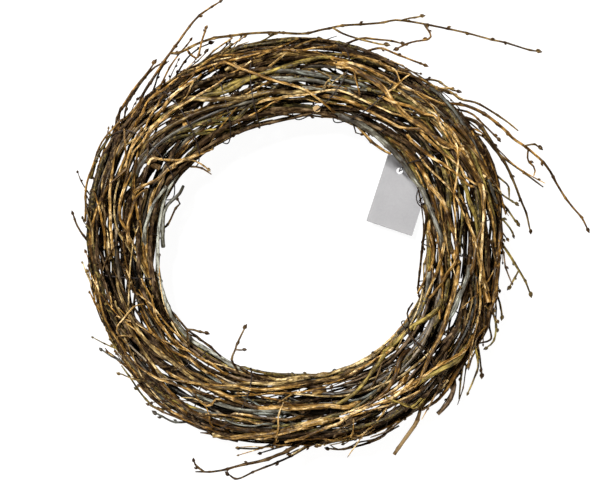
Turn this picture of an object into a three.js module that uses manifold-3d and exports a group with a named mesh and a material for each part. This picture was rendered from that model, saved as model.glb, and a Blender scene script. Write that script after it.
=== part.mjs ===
// A brushwood wreath: a ring bundled from thin natural twigs, bound with wire, lying on its back,
// with a blank card tag on the wire. Millimetres, +Z up. The origin is on the table, below the
// middle of the whole outline. Angles are in degrees, clockwise from the top of the ring (+Y) as
// seen from above, and every twig's tip points clockwise.
import * as THREE from 'three';
import { mergeVertices } from 'three/addons/utils/BufferGeometryUtils.js';
import Module from 'manifold-3d';

// The ring
const ringCentreX = -18.1;
const ringCentreY = 1.25;
const midHeight = 19;
const halfDepth = 14.5;
// Distance of the outer and of the inner edge from the ring's centre, every 30 degrees
const outerEdge = [99, 100, 103.5, 101.5, 104, 103.5, 101, 103.5, 102.5, 102, 103, 99];
const innerEdge = [59.5, 63.5, 66, 63, 66.5, 67.5, 65.5, 68, 69.5, 66, 62, 58];

// Stations are the places along the ring where every twig has a point
const stationAngle = 12;
const arcStations = 5;
const arcs = 6;
const shortestStep = 0.3;

// Three layers of lanes, one round the other. Each lane holds one branch in each arc, and each
// branch has a stem and side shoots in slots of their own, so that no branch meets another.
// Reach is how far out a slot lies in the bundle, from 0 in its middle to 1 on its surface. A
// layer turns round the bundle in waves, each given as its size in radians, its count and its
// phase. The middle layer turns the other way, so its twigs cross behind those of the outer one.
const layers = [
  {
    name: 'outer_branch',
    lanes: 5,
    slots: 5,
    reach: 0.85,
    wander: 0.06,
    thick: 2,
    laneShift: 0,
    turnWaves: [[0.42, 2, 0.7], [0.3, 3, 2.1]],
  },
  {
    name: 'middle_branch',
    lanes: 3,
    slots: 3,
    reach: 0.6,
    wander: 0.09,
    thick: 2,
    laneShift: 1,
    turnWaves: [[-0.42, 2, 0.4], [-0.34, 3, 1.2]],
  },
  {
    name: 'core_branch',
    lanes: 1,
    slots: 3,
    reach: 0.385,
    wander: 0.08,
    thick: 1.8,
    laneShift: 2,
    turnWaves: [[0.5, 2, 2.6]],
  },
];
const laneStagger = 2;

// Branches that lie a little further out (+) or in (-), so that each rests against its neighbours
const nudges = {
  outer_branch_17: 0.02,
  outer_branch_20: 0.012,
  outer_branch_22: 0.012,
  outer_branch_24: -0.015,
  outer_branch_28: -0.02,
  middle_branch_2: -0.035,
  middle_branch_3: -0.03,
  middle_branch_5: -0.04,
  middle_branch_7: 0.03,
  middle_branch_8: -0.02,
  core_branch_3: 0.045,
  core_branch_4: -0.02,
  core_branch_6: 0.03,
};

// Stems. Places along a branch are in stations from its cut end.
const stemTip = 1.2;
const stemSides = 4;
const thinnestStem = 0.78;
const stemLength = 5.1;
const stemLengthRange = 0.6;

// Side shoots. The first leaves its stem past the last tips of the branch before it, and a shoot
// in the slot of the next branch's stem ends short of that stem's cut end.
const shootThick = 1.1;
const shootTip = 0.55;
const shootSides = 3;
const thinnestShoot = 0.8;
const firstShoot = 1.2;
const shootSpacing = 0.8;
const shootJitter = 0.25;
const shootSwing = 0.9;
const shootFan = 0.12;
const shortestTip = 5.1;
const tipRange = 0.95;
const tipBeforeCutEnd = 4.7;

// Knots swell a twig where its draw is above the limit
const knotLimit = 0.7;
const knotSwell = 1.12;

// Short cut spurs below the ring, on whose flat ends it lies
const spurAngles = [24, 132, 258];
const spurRadius = 1.7;
const spurRootRadius = 1.36;
const spurEndHeight = 2;
const spurSides = 6;

// The binding wire winds round the bundle, from the tag's place all round to just before it
const wireTurns = 20;
const wireSteps = 12;
const wireRadius = 0.48;
const wireSides = 3;
const wireOffset = 0.95;
const wireStartAngle = 55.7;
const wireStartTurn = -190;
const wireStopSteps = 4;

// The tag: a card with one hole, its lower end tilted up
const tagWidth = 24;
const tagLength = 36;
const tagThickness = 0.6;
const tagCornerX = 36;
const tagCornerY = 9.6;
const tagTurn = -18.4;
const tagTilt = 8;
const tagLift = 1.4;
const tagHoleRadius = 1.7;
const tagHoleX = 8.1;
const tagHoleY = 29.4;
// The wire's way through the tag: below the card, up through its hole, and over to the ring
const threadStart = [tagHoleX, 34.5, -1.3];
const threadBelow = [tagHoleX, tagHoleY, -1.1];
const threadAbove = [tagHoleX, tagHoleY, 2.2];
const threadToRing = [[57, 63.6, 10], [56.6, 64, 16]];

// Loose sprigs: clockwise angle, distance from the ring's centre, height over the ring's middle.
// A fork may grow from another sprig, and any other sprig grows from the bundle.
const sprigTip = 0.52;
const sprigSides = 3;
const bluntTaper = 0.8;
const rootLead = 5;
const forkLead = 2;
const sprigs = [
  // At the upper left, with the long one that arches over the top of the ring
  { thick: 1.05, points: [[-46, 102, 6], [-38, 105.5, 8], [-31, 110, 9], [-25, 116, 9], [-20, 119.5, 9],
    [-17, 120.5, 9]] },
  { thick: 0.8, points: [[-54, 105.5, 2], [-50, 106.5, 3], [-46, 107.5, 3], [-40, 109, 3], [-38, 110, 3]] },
  { fork: true, thick: 0.8, points: [[-31, 106, 10], [-25, 105, 11], [-18, 103.5, 11], [-12, 102, 11],
    [-6, 100.5, 11], [3, 99.5, 11], [8, 103, 9], [13, 106.5, 8], [22, 113.5, 8], [25, 117.5, 8],
    [35, 125.5, 8], [39, 129.5, 8], [46, 138.5, 7], [51, 146.5, 6], [52.5, 150, 6]] },
  { fork: true, thick: 0.6, points: [[27.5, 121, 9], [30, 124.5, 9]] },
  { fork: true, thick: 0.65, points: [[34, 118, 10], [31, 111, 12], [28, 104, 14]] },
  { fork: true, thick: 0.65, points: [[13, 102, 12], [18, 101.5, 12.5], [24, 103, 12.5],
    [25.5, 104, 12.5]] },
  { thick: 0.75, points: [[18, 103, 3], [23, 106, 4], [26, 108, 5], [29, 109.5, 5]] },
  { thick: 0.75, points: [[24, 103.5, -2], [28, 104.5, -2], [35, 106, -1], [37, 107, -1]] },
  { thick: 0.7, points: [[42, 104.5, 2], [45, 105.5, 3], [48, 108, 3]] },
  { thick: 0.75, points: [[-56, 106, -4], [-50, 107, -5], [-44, 108.5, -5], [-39, 109.5, -5],
    [-36, 108.5, -5]] },
  { fork: true, thick: 0.65, points: [[-28, 99, 15], [-25, 105, 15.5], [-22.5, 110.5, 15]] },
  // At the upper right
  { thick: 0.95, points: [[46, 104, 9], [50, 106, 9], [53, 110, 9], [61, 118, 9], [64, 121, 9]] },
  { thick: 1.05, points: [[52, 106.5, 3], [57, 112, 3], [62, 116, 3], [65, 118, 3], [68, 122, 3],
    [72, 126.5, 3], [75, 129.5, 2], [78, 131.5, 2], [83, 137, 1], [86, 141.5, 1], [88, 144, 1]] },
  { fork: true, thick: 0.6, points: [[68.5, 126, 5], [69.5, 128, 5]] },
  { fork: true, thick: 0.6, points: [[71, 121.5, 0], [73.5, 123.5, -1], [75, 121.5, -1]] },
  { thick: 0.75, points: [[54, 106.5, -3], [58, 108.5, -3], [64, 112, -3]] },
  { thick: 0.75, points: [[61, 106.5, -8], [66, 109, -8], [70, 113, -7], [76, 122, -6], [78, 126, -6]] },
  { thick: 1.4, points: [[57, 105, 8], [62, 106.5, 8], [67, 107.5, 7], [71, 109, 6], [77, 111, 5],
    [83, 113.5, 4], [88, 115.5, 4]] },
  // At the right
  { thick: 0.65, points: [[74, 106.5, -2], [76, 109, -2], [79, 107.5, -3]] },
  { thick: 0.6, points: [[79, 105, 9], [81, 109, 10]] },
  { thick: 0.7, points: [[81, 105.5, -6], [86, 111.5, -7]] },
  { thick: 0.65, points: [[86, 104.5, 2], [89, 107.5, 2]] },
  { thick: 0.95, points: [[93, 105, 0], [96, 109, 0], [99, 113, 0], [101, 116, 0], [103, 119, 0]] },
  { fork: true, thick: 0.6, points: [[100.5, 109, 1], [102.5, 107.5, 1]] },
  { thick: 0.75, points: [[107, 105.5, -2], [110.5, 109, -2]] },
  { thick: 0.75, points: [[113, 106.5, 5], [117, 109, 6], [119.5, 107, 6]] },
  // At the lower right
  { thick: 0.75, points: [[122, 108, -4], [126, 114, -5]] },
  { thick: 0.75, points: [[124, 108, 8], [128, 110.5, 8], [131.5, 112.5, 8]] },
  { thick: 0.75, points: [[130, 108, -6], [134, 113.5, -7]] },
  { thick: 1.4, blunt: true, points: [[134, 107.5, 3], [137, 109.5, 3], [140.5, 110, 3]] },
  { thick: 1.2, blunt: true, points: [[146, 106.5, 6], [150, 110, 6], [155, 115, 6]] },
  { thick: 0.8, points: [[155, 106, -4], [160, 106.5, -5], [165, 106, -5], [168, 105.5, -5],
    [171, 104, -5]] },
  // At the bottom
  { thick: 1.3, points: [[182, 103.5, 4], [185, 105.5, 4], [190, 110, 4], [194, 113.5, 4],
    [198, 118, 4], [203, 123, 4]] },
  { fork: true, thick: 0.75, points: [[203.5, 120, 5], [204.5, 117.5, 5]] },
  { thick: 0.7, points: [[179, 104, -3], [185, 110.5, -3], [190, 116, -3], [193.5, 121, -3],
    [196, 119.5, -3]] },
  { thick: 0.65, points: [[189, 104.5, -7], [195, 107, -8]] },
  // At the left
  { thick: 0.75, points: [[213, 106, 5], [217, 107, 6], [219, 107.5, 6]] },
  { thick: 0.7, points: [[219, 106.5, -2], [224, 106.5, -2], [229, 105.5, -2], [234, 105, -2]] },
  { thick: 0.7, points: [[237, 105, 5], [240.5, 108, 5]] },
  { thick: 0.75, points: [[273, 105, 4], [277, 108.5, 4]] },
  // Into the hole
  { thick: 0.8, points: [[230, 67, 9], [226, 64, 9], [223, 61.5, 9]] },
  { thick: 0.75, points: [[208, 65, 6], [208, 62, 7], [209, 58, 8], [209, 48, 9]] },
  { fork: true, thick: 0.6, points: [[206, 59.5, 8], [204, 58.5, 8]] },
  { thick: 0.7, points: [[277, 63, -2], [285, 60.5, -2], [288, 59, -2], [289.5, 61, -2]] },
  { thick: 0.7, points: [[308, 57.5, 3], [309, 51.5, 3]] },
];

const barks = {
  dark_bark: { color: 0x2e2620, roughness: 0.75 },
  olive_bark: { color: 0x5a5238, roughness: 0.65 },
  golden_bark: { color: 0x9a7434, roughness: 0.55 },
  grey_bark: { color: 0x6d6f63, roughness: 0.7 },
};
const barkOrder = ['dark_bark', 'golden_bark', 'olive_bark', 'dark_bark', 'grey_bark'];
const wireColor = 0x24201c;
const tagColor = 0xe6e3df;

const wasm = await Module();
wasm.setup();

const { degToRad } = THREE.MathUtils;

// A repeatable draw from 0 to 1 for any three numbers
function draw(a, b, c) {
  const wave = Math.sin(a * 127.1 + b * 311.7 + c * 74.7) * 43758.5453;
  return wave - Math.floor(wave);
}

// A smooth closed curve through values that stand at equal angles
function edgeAt(values, angle) {
  const count = values.length;
  const place = ((angle % 360) + 360) % 360 / (360 / count);
  const first = Math.floor(place);
  const t = place - first;
  const [a, b, c, d] = [-1, 0, 1, 2].map((step) => values[(first + step + count) % count]);
  return b + 0.5 * t * (c - a + t * (2 * a - 5 * b + 4 * c - d + t * (3 * (b - c) + d - a)));
}

// A point from its clockwise angle, its distance from the ring's centre and its height
function polarPoint(angle, radius, height) {
  const turn = degToRad(angle);
  const x = ringCentreX + radius * Math.sin(turn);
  const y = ringCentreY + radius * Math.cos(turn);
  return new THREE.Vector3(x, y, height);
}

// A point in the bundle: the turn goes round it from the outer edge over the top, and the offset
// is a distance outside its surface
function bundlePoint(angle, reach, turn, offset = 0) {
  const outer = edgeAt(outerEdge, angle);
  const inner = edgeAt(innerEdge, angle);
  const across = (outer - inner) / 2 * reach + offset;
  const up = halfDepth * reach + offset;
  const radius = (outer + inner) / 2 + across * Math.cos(turn);
  return polarPoint(angle, radius, midHeight + up * Math.sin(turn));
}

// How far a layer has turned round the bundle at an angle
function layerTurn(layer, angle) {
  return layer.turnWaves.reduce((sum, wave) => {
    const [size, count, phase] = wave;
    return sum + size * Math.sin(count * degToRad(angle) + phase);
  }, 0);
}

// The middle of a slot at a station
function slotPoint(layer, lane, slot, station, reach) {
  const angle = station * stationAngle;
  const laneTurn = 2 * Math.PI * lane / layer.lanes;
  const slotTurn = 2 * Math.PI / (layer.lanes * layer.slots);
  const turn = layerTurn(layer, angle) + laneTurn + (slot - (layer.slots - 1) / 2) * slotTurn;
  return bundlePoint(angle, reach, turn);
}

// A tapered tube along points, closed at both ends
function tube(points, radii, sides) {
  const last = points.length - 1;
  const geometry = new THREE.CylinderGeometry(1, 1, 1, sides, last);
  geometry.deleteAttribute('normal');
  geometry.deleteAttribute('uv');
  const frames = [];
  let side = null;
  points.forEach((point, index) => {
    const before = points[Math.max(index - 1, 0)];
    const along = points[Math.min(index + 1, last)].clone().sub(before).normalize();
    if (!side) {
      const level = Math.abs(along.z) < 0.8;
      side = new THREE.Vector3(level ? 0 : 1, 0, level ? 1 : 0).cross(along);
    }
    side = side.clone().addScaledVector(along, -side.dot(along)).normalize();
    frames.push({ side, up: along.clone().cross(side) });
  });
  const position = geometry.attributes.position;
  for (let index = 0; index < position.count; index += 1) {
    const ring = Math.round((0.5 - position.getY(index)) * last);
    const moved = points[ring].clone()
      .addScaledVector(frames[ring].side, position.getX(index) * radii[ring])
      .addScaledVector(frames[ring].up, position.getZ(index) * radii[ring]);
    position.setXYZ(index, moved.x, moved.y, moved.z);
  }
  return geometry;
}

function toSolid(geometry) {
  const merged = mergeVertices(geometry, 1e-5);
  return new wasm.Manifold(new wasm.Mesh({
    numProp: 3,
    vertProperties: new Float32Array(merged.attributes.position.array),
    triVerts: new Uint32Array(merged.index.array),
  }));
}

function toGeometry(solid) {
  const mesh = solid.getMesh();
  const geometry = new THREE.BufferGeometry();
  geometry.setAttribute('position', new THREE.BufferAttribute(new Float32Array(mesh.vertProperties), 3));
  geometry.setIndex(new THREE.BufferAttribute(new Uint32Array(mesh.triVerts), 1));
  geometry.computeVertexNormals();
  return geometry;
}

// The stations from a twig's start to its end, with the two ends wherever they fall
function stationsBetween(start, end) {
  const stations = [start];
  for (let station = Math.floor(start) + 1; station < end - shortestStep; station += 1) {
    if (station > start + shortestStep) stations.push(station);
  }
  stations.push(end);
  return stations;
}

// Radii along a twig: an even taper with small knots
function taper(count, thick, tip, seed) {
  return Array.from({ length: count }, (unused, index) => {
    const even = thick + (tip - thick) * index / (count - 1);
    const knot = index > 0 && index < count - 1 && draw(seed, index, 5) > knotLimit;
    return knot ? even * knotSwell : even;
  });
}

// The slot that a branch's stem keeps to
function stemSlot(layerIndex, lane, arc) {
  return (layerIndex === 0 ? 1 : 0) + (arc + lane) % 3;
}

// The slots of the side shoots, counted from the stem's own. The core's slots go all the way
// round, so its two shoots leave to either side.
function shootOffsets(layer, slot) {
  if (layer.lanes === 1) return [-1, 1];
  return [...Array(layer.slots).keys()].map((other) => other - slot).filter((offset) => offset !== 0);
}

function pointAlong(points, stations, station) {
  let index = 0;
  while (index < stations.length - 2 && stations[index + 1] < station) index += 1;
  const share = (station - stations[index]) / (stations[index + 1] - stations[index]);
  return points[index].clone().lerp(points[index + 1], share);
}

// One branch: its stem from a cut end to a tip, and its side shoots beside it
function makeTwigs(layerIndex, lane, arc, nudge) {
  const layer = layers[layerIndex];
  const seed = layerIndex * 100 + lane * 10 + arc;
  const start = arc * arcStations + (lane * laneStagger + layer.laneShift) % arcStations;
  const slot = stemSlot(layerIndex, lane, arc);
  const nextSlot = stemSlot(layerIndex, lane, (arc + 1) % arcs);
  const stemReach = layer.reach + nudge;
  const stations = stationsBetween(start, start + stemLength + stemLengthRange * draw(seed, 1, 1));
  const stemPoints = stations.map((station) => slotPoint(layer, lane, slot, station, stemReach));
  const stemThick = layer.thick * (thinnestStem + (1 - thinnestStem) * draw(seed, 2, 1));
  const stemRadii = taper(stations.length, stemThick, stemTip, seed);
  const offsets = shootOffsets(layer, slot);
  const furthest = Math.max(...offsets.map(Math.abs));
  const shoots = offsets.map((offset) => {
    const key = offset + 5;
    const distance = Math.abs(offset);
    const earliest = start + firstShoot + shootSpacing * (furthest - distance);
    const root = earliest + shootJitter * draw(seed, key, 2);
    const meetsCutEnd = (slot + offset + layer.slots) % layer.slots === nextSlot;
    const tip = start + (meetsCutEnd ? tipBeforeCutEnd : shortestTip + tipRange * draw(seed, key, 3));
    const drift = layer.wander * (2 * draw(seed, key, 4) - 1);
    const points = stationsBetween(root, tip).map((station) => {
      if (station === root) return pointAlong(stemPoints, stations, root);
      const share = Math.min(1, (station - root) / (shootSwing * distance));
      const fan = 1 + shootFan * (station - root) / (tip - root);
      return slotPoint(layer, lane, slot + offset * share * fan, station, stemReach + drift * share);
    });
    const thick = shootThick * (thinnestShoot + (1 - thinnestShoot) * draw(seed, key, 6));
    return { points, radii: taper(points.length, thick, shootTip, seed * 7 + offset), sides: shootSides };
  });
  return [{ points: stemPoints, radii: stemRadii, sides: stemSides }, ...shoots];
}

// The point nearest to a place on the twigs of the given branches, with or without their sprigs
function nearestOnTwigs(branches, place, withSprigs) {
  const best = { distance: Infinity };
  const line = new THREE.Line3();
  const near = new THREE.Vector3();
  branches.forEach((branch) => {
    branch.twigs.filter((twig) => withSprigs || !twig.isSprig).forEach((twig) => {
      for (let index = 0; index < twig.points.length - 1; index += 1) {
        line.set(twig.points[index], twig.points[index + 1]);
        line.closestPointToPoint(place, true, near);
        const distance = near.distanceTo(place);
        if (distance < best.distance) {
          Object.assign(best, { distance, branch, point: near.clone(), thick: twig.radii[index] });
        }
      }
    });
  });
  return best;
}

// A loose sprig grows from the twig nearest to a place just behind its first point
function addSprig(branches, sprig) {
  const [angle, radius, height] = sprig.points[0];
  const place = polarPoint(angle - (sprig.fork ? forkLead : rootLead), radius, midHeight + height);
  const root = nearestOnTwigs(branches, place, sprig.fork);
  const points = [root.point, ...sprig.points.map(([a, r, h]) => polarPoint(a, r, midHeight + h))];
  const tip = sprig.blunt ? sprig.thick * bluntTaper : sprigTip;
  const last = points.length - 1;
  const radii = points.map((point, index) => sprig.thick + (tip - sprig.thick) * index / last);
  radii[0] = Math.min(radii[0], root.thick);
  root.branch.twigs.push({ points, radii, sides: sprigSides, isSprig: true });
}

// A short cut spur reaches down from the lowest twig to the table
function addSpur(branches, angle) {
  const radius = (edgeAt(outerEdge, angle) + edgeAt(innerEdge, angle)) / 2;
  const root = nearestOnTwigs(branches, polarPoint(angle, radius, midHeight - halfDepth), false);
  const knee = root.point.clone().setZ(spurEndHeight);
  const foot = root.point.clone().setZ(0);
  const radii = [spurRootRadius, spurRadius, spurRadius];
  root.branch.twigs.push({ points: [root.point, knee, foot], radii, sides: spurSides });
}

function makeBranches() {
  const branches = [];
  layers.forEach((layer, layerIndex) => {
    for (let lane = 0; lane < layer.lanes; lane += 1) {
      for (let arc = 0; arc < arcs; arc += 1) {
        const number = lane * arcs + arc + 1;
        const name = `${layer.name}_${number}`;
        const twigs = makeTwigs(layerIndex, lane, arc, nudges[name] ?? 0);
        branches.push({ name, number, layerIndex, twigs });
      }
    }
  });
  const outerBranches = branches.filter((branch) => branch.layerIndex === 0);
  sprigs.forEach((sprig) => addSprig(outerBranches, sprig));
  spurAngles.forEach((angle) => addSpur(outerBranches, angle));
  return branches;
}

// A branch is one body: its stem with every shoot, sprig and spur grown from it
function branchMesh(branch) {
  const solids = branch.twigs.map((twig) => toSolid(tube(twig.points, twig.radii, twig.sides)));
  const body = solids.reduce((sum, solid) => sum.add(solid));
  const bark = barks[barkOrder[branch.number % barkOrder.length]];
  const material = new THREE.MeshStandardMaterial({ ...bark, metalness: 0, flatShading: true });
  const mesh = new THREE.Mesh(toGeometry(body), material);
  mesh.name = branch.name;
  return mesh;
}

// The tag's own directions: across it, along it to its holed end, and up from its face
function tagFrame() {
  const upright = new THREE.Vector3(0, 0, 1);
  const across = new THREE.Vector3(1, 0, 0).applyAxisAngle(upright, degToRad(tagTurn));
  const along = upright.clone().cross(across).applyAxisAngle(across, degToRad(-tagTilt));
  const up = across.clone().cross(along);
  const raised = tagLift + tagLength * Math.sin(degToRad(tagTilt));
  const corner = new THREE.Vector3(ringCentreX + tagCornerX, ringCentreY + tagCornerY, raised);
  return new THREE.Matrix4().makeBasis(across, along, up).setPosition(corner);
}

function tagMesh() {
  const outline = new THREE.Shape();
  outline.moveTo(0, 0);
  outline.lineTo(tagWidth, 0);
  outline.lineTo(tagWidth, tagLength);
  outline.lineTo(0, tagLength);
  const hole = new THREE.Path();
  hole.absarc(tagHoleX, tagHoleY, tagHoleRadius, 0, 2 * Math.PI, true);
  outline.holes.push(hole);
  const card = { depth: tagThickness, bevelEnabled: false, curveSegments: 6 };
  const paper = new THREE.MeshStandardMaterial({ color: tagColor, roughness: 0.6, metalness: 0 });
  const mesh = new THREE.Mesh(new THREE.ExtrudeGeometry(outline, card), paper);
  mesh.name = 'blank_tag';
  mesh.applyMatrix4(tagFrame());
  return mesh;
}

// The wire goes through the tag first, and then winds evenly round the bundle
function wireMesh() {
  const frame = tagFrame();
  const threaded = [threadStart, threadBelow, threadAbove].map((point) => {
    return new THREE.Vector3(...point).applyMatrix4(frame);
  });
  const rising = threadToRing.map(([angle, radius, height]) => polarPoint(angle, radius, height));
  const steps = wireTurns * wireSteps;
  const wound = [];
  for (let step = 0; step < steps - wireStopSteps; step += 1) {
    const turn = degToRad(wireStartTurn - 360 * step / wireSteps);
    wound.push(bundlePoint(wireStartAngle + 360 * step / steps, 1, turn, wireOffset));
  }
  const points = [...threaded, ...rising, ...wound];
  const solid = toSolid(tube(points, points.map(() => wireRadius), wireSides));
  const steel = { color: wireColor, roughness: 0.45, metalness: 0.8, flatShading: true };
  const mesh = new THREE.Mesh(toGeometry(solid), new THREE.MeshStandardMaterial(steel));
  mesh.name = 'binding_wire';
  return mesh;
}

const wreath = new THREE.Group();
makeBranches().forEach((branch) => wreath.add(branchMesh(branch)));
wreath.add(tagMesh());
wreath.add(wireMesh());

export default wreath;
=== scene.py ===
import math

import bmesh
import bpy
from mathutils import Matrix, Vector


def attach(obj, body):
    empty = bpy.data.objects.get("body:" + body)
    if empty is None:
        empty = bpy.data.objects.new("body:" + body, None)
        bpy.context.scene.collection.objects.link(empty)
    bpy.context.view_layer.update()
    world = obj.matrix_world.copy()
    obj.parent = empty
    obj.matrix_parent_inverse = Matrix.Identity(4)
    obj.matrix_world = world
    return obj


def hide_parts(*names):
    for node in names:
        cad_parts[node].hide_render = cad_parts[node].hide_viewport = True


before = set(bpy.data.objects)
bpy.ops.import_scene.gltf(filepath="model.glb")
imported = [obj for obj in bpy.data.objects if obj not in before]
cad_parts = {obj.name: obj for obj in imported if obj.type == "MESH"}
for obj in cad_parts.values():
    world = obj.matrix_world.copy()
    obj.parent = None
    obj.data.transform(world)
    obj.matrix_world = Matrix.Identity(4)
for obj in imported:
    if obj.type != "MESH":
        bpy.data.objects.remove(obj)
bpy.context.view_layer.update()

scene = bpy.context.scene
mm = 0.001  # everything below is in millimetres until it is put in a mesh
upright = Vector((0, 0, 1))

# Angles are in degrees, clockwise from the top of the ring, and every twig's tip points clockwise
ring = {
    "centre": (-18.1, 1.25),
    "midHeight": 19.0,
    "halfDepth": 14.5,
    "outerEdge": [99, 100, 103.5, 101.5, 104, 103.5, 101, 103.5, 102.5, 102, 103, 99],
    "innerEdge": [59.5, 63.5, 66, 63, 66.5, 67.5, 65.5, 68, 69.5, 66, 62, 58],
    "stationAngle": 12,
    "arcStations": 5,
    "arcs": 6,
    "shortestStep": 0.3,
    "laneStagger": 2,
    "stemSlots": 3,
}
# Each layer winds its lanes round the bundle, and each lane has slots for twigs side by side
layers = [
    {"name": "outer_branch", "lanes": 5, "slots": 5, "reach": 0.85, "wander": 0.06, "thick": 2.0,
     "laneShift": 0, "turnWaves": [(0.42, 2, 0.7), (0.3, 3, 2.1)]},
    {"name": "middle_branch", "lanes": 3, "slots": 3, "reach": 0.6, "wander": 0.09, "thick": 2.0,
     "laneShift": 1, "turnWaves": [(-0.42, 2, 0.4), (-0.34, 3, 1.2)]},
    {"name": "core_branch", "lanes": 1, "slots": 3, "reach": 0.385, "wander": 0.08, "thick": 1.8,
     "laneShift": 2, "turnWaves": [(0.5, 2, 2.6)]},
]
# Branches that would touch another one lie a little further out or in
nudges = {
    "outer_branch_17": 0.02, "outer_branch_20": 0.012, "outer_branch_22": 0.012,
    "outer_branch_24": -0.015, "outer_branch_28": -0.02, "middle_branch_2": -0.035,
    "middle_branch_3": -0.03, "middle_branch_5": -0.04, "middle_branch_7": 0.03,
    "middle_branch_8": -0.02, "core_branch_3": 0.045, "core_branch_4": -0.02, "core_branch_6": 0.03,
}
stem = {"tip": 1.2, "thickness": (0.78, 1), "length": (5.1, 5.7)}
shoot = {
    "thick": 1.1, "tip": 0.55, "thickness": (0.8, 1), "first": 1.2, "spacing": 0.8, "jitter": 0.25,
    "swing": 0.9, "fan": 0.12, "tipLength": (5.1, 6.05), "beforeCutEnd": 4.7,
}
knotSwelling = {"limit": 0.7, "swell": 1.12}
spur = {"angles": [24, 132, 258], "radius": 1.7, "rootRadius": 1.36, "endHeight": 2, "seed": 990}
sprigShape = {"tip": 0.52, "bluntTaper": 0.8, "rootLead": 5, "forkLead": 2, "seed": 900}
sprigShades = {17: 0.25, 16: 0.1, 30: -0.36}  # darker, or paler, than the branch's other sprigs
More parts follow.
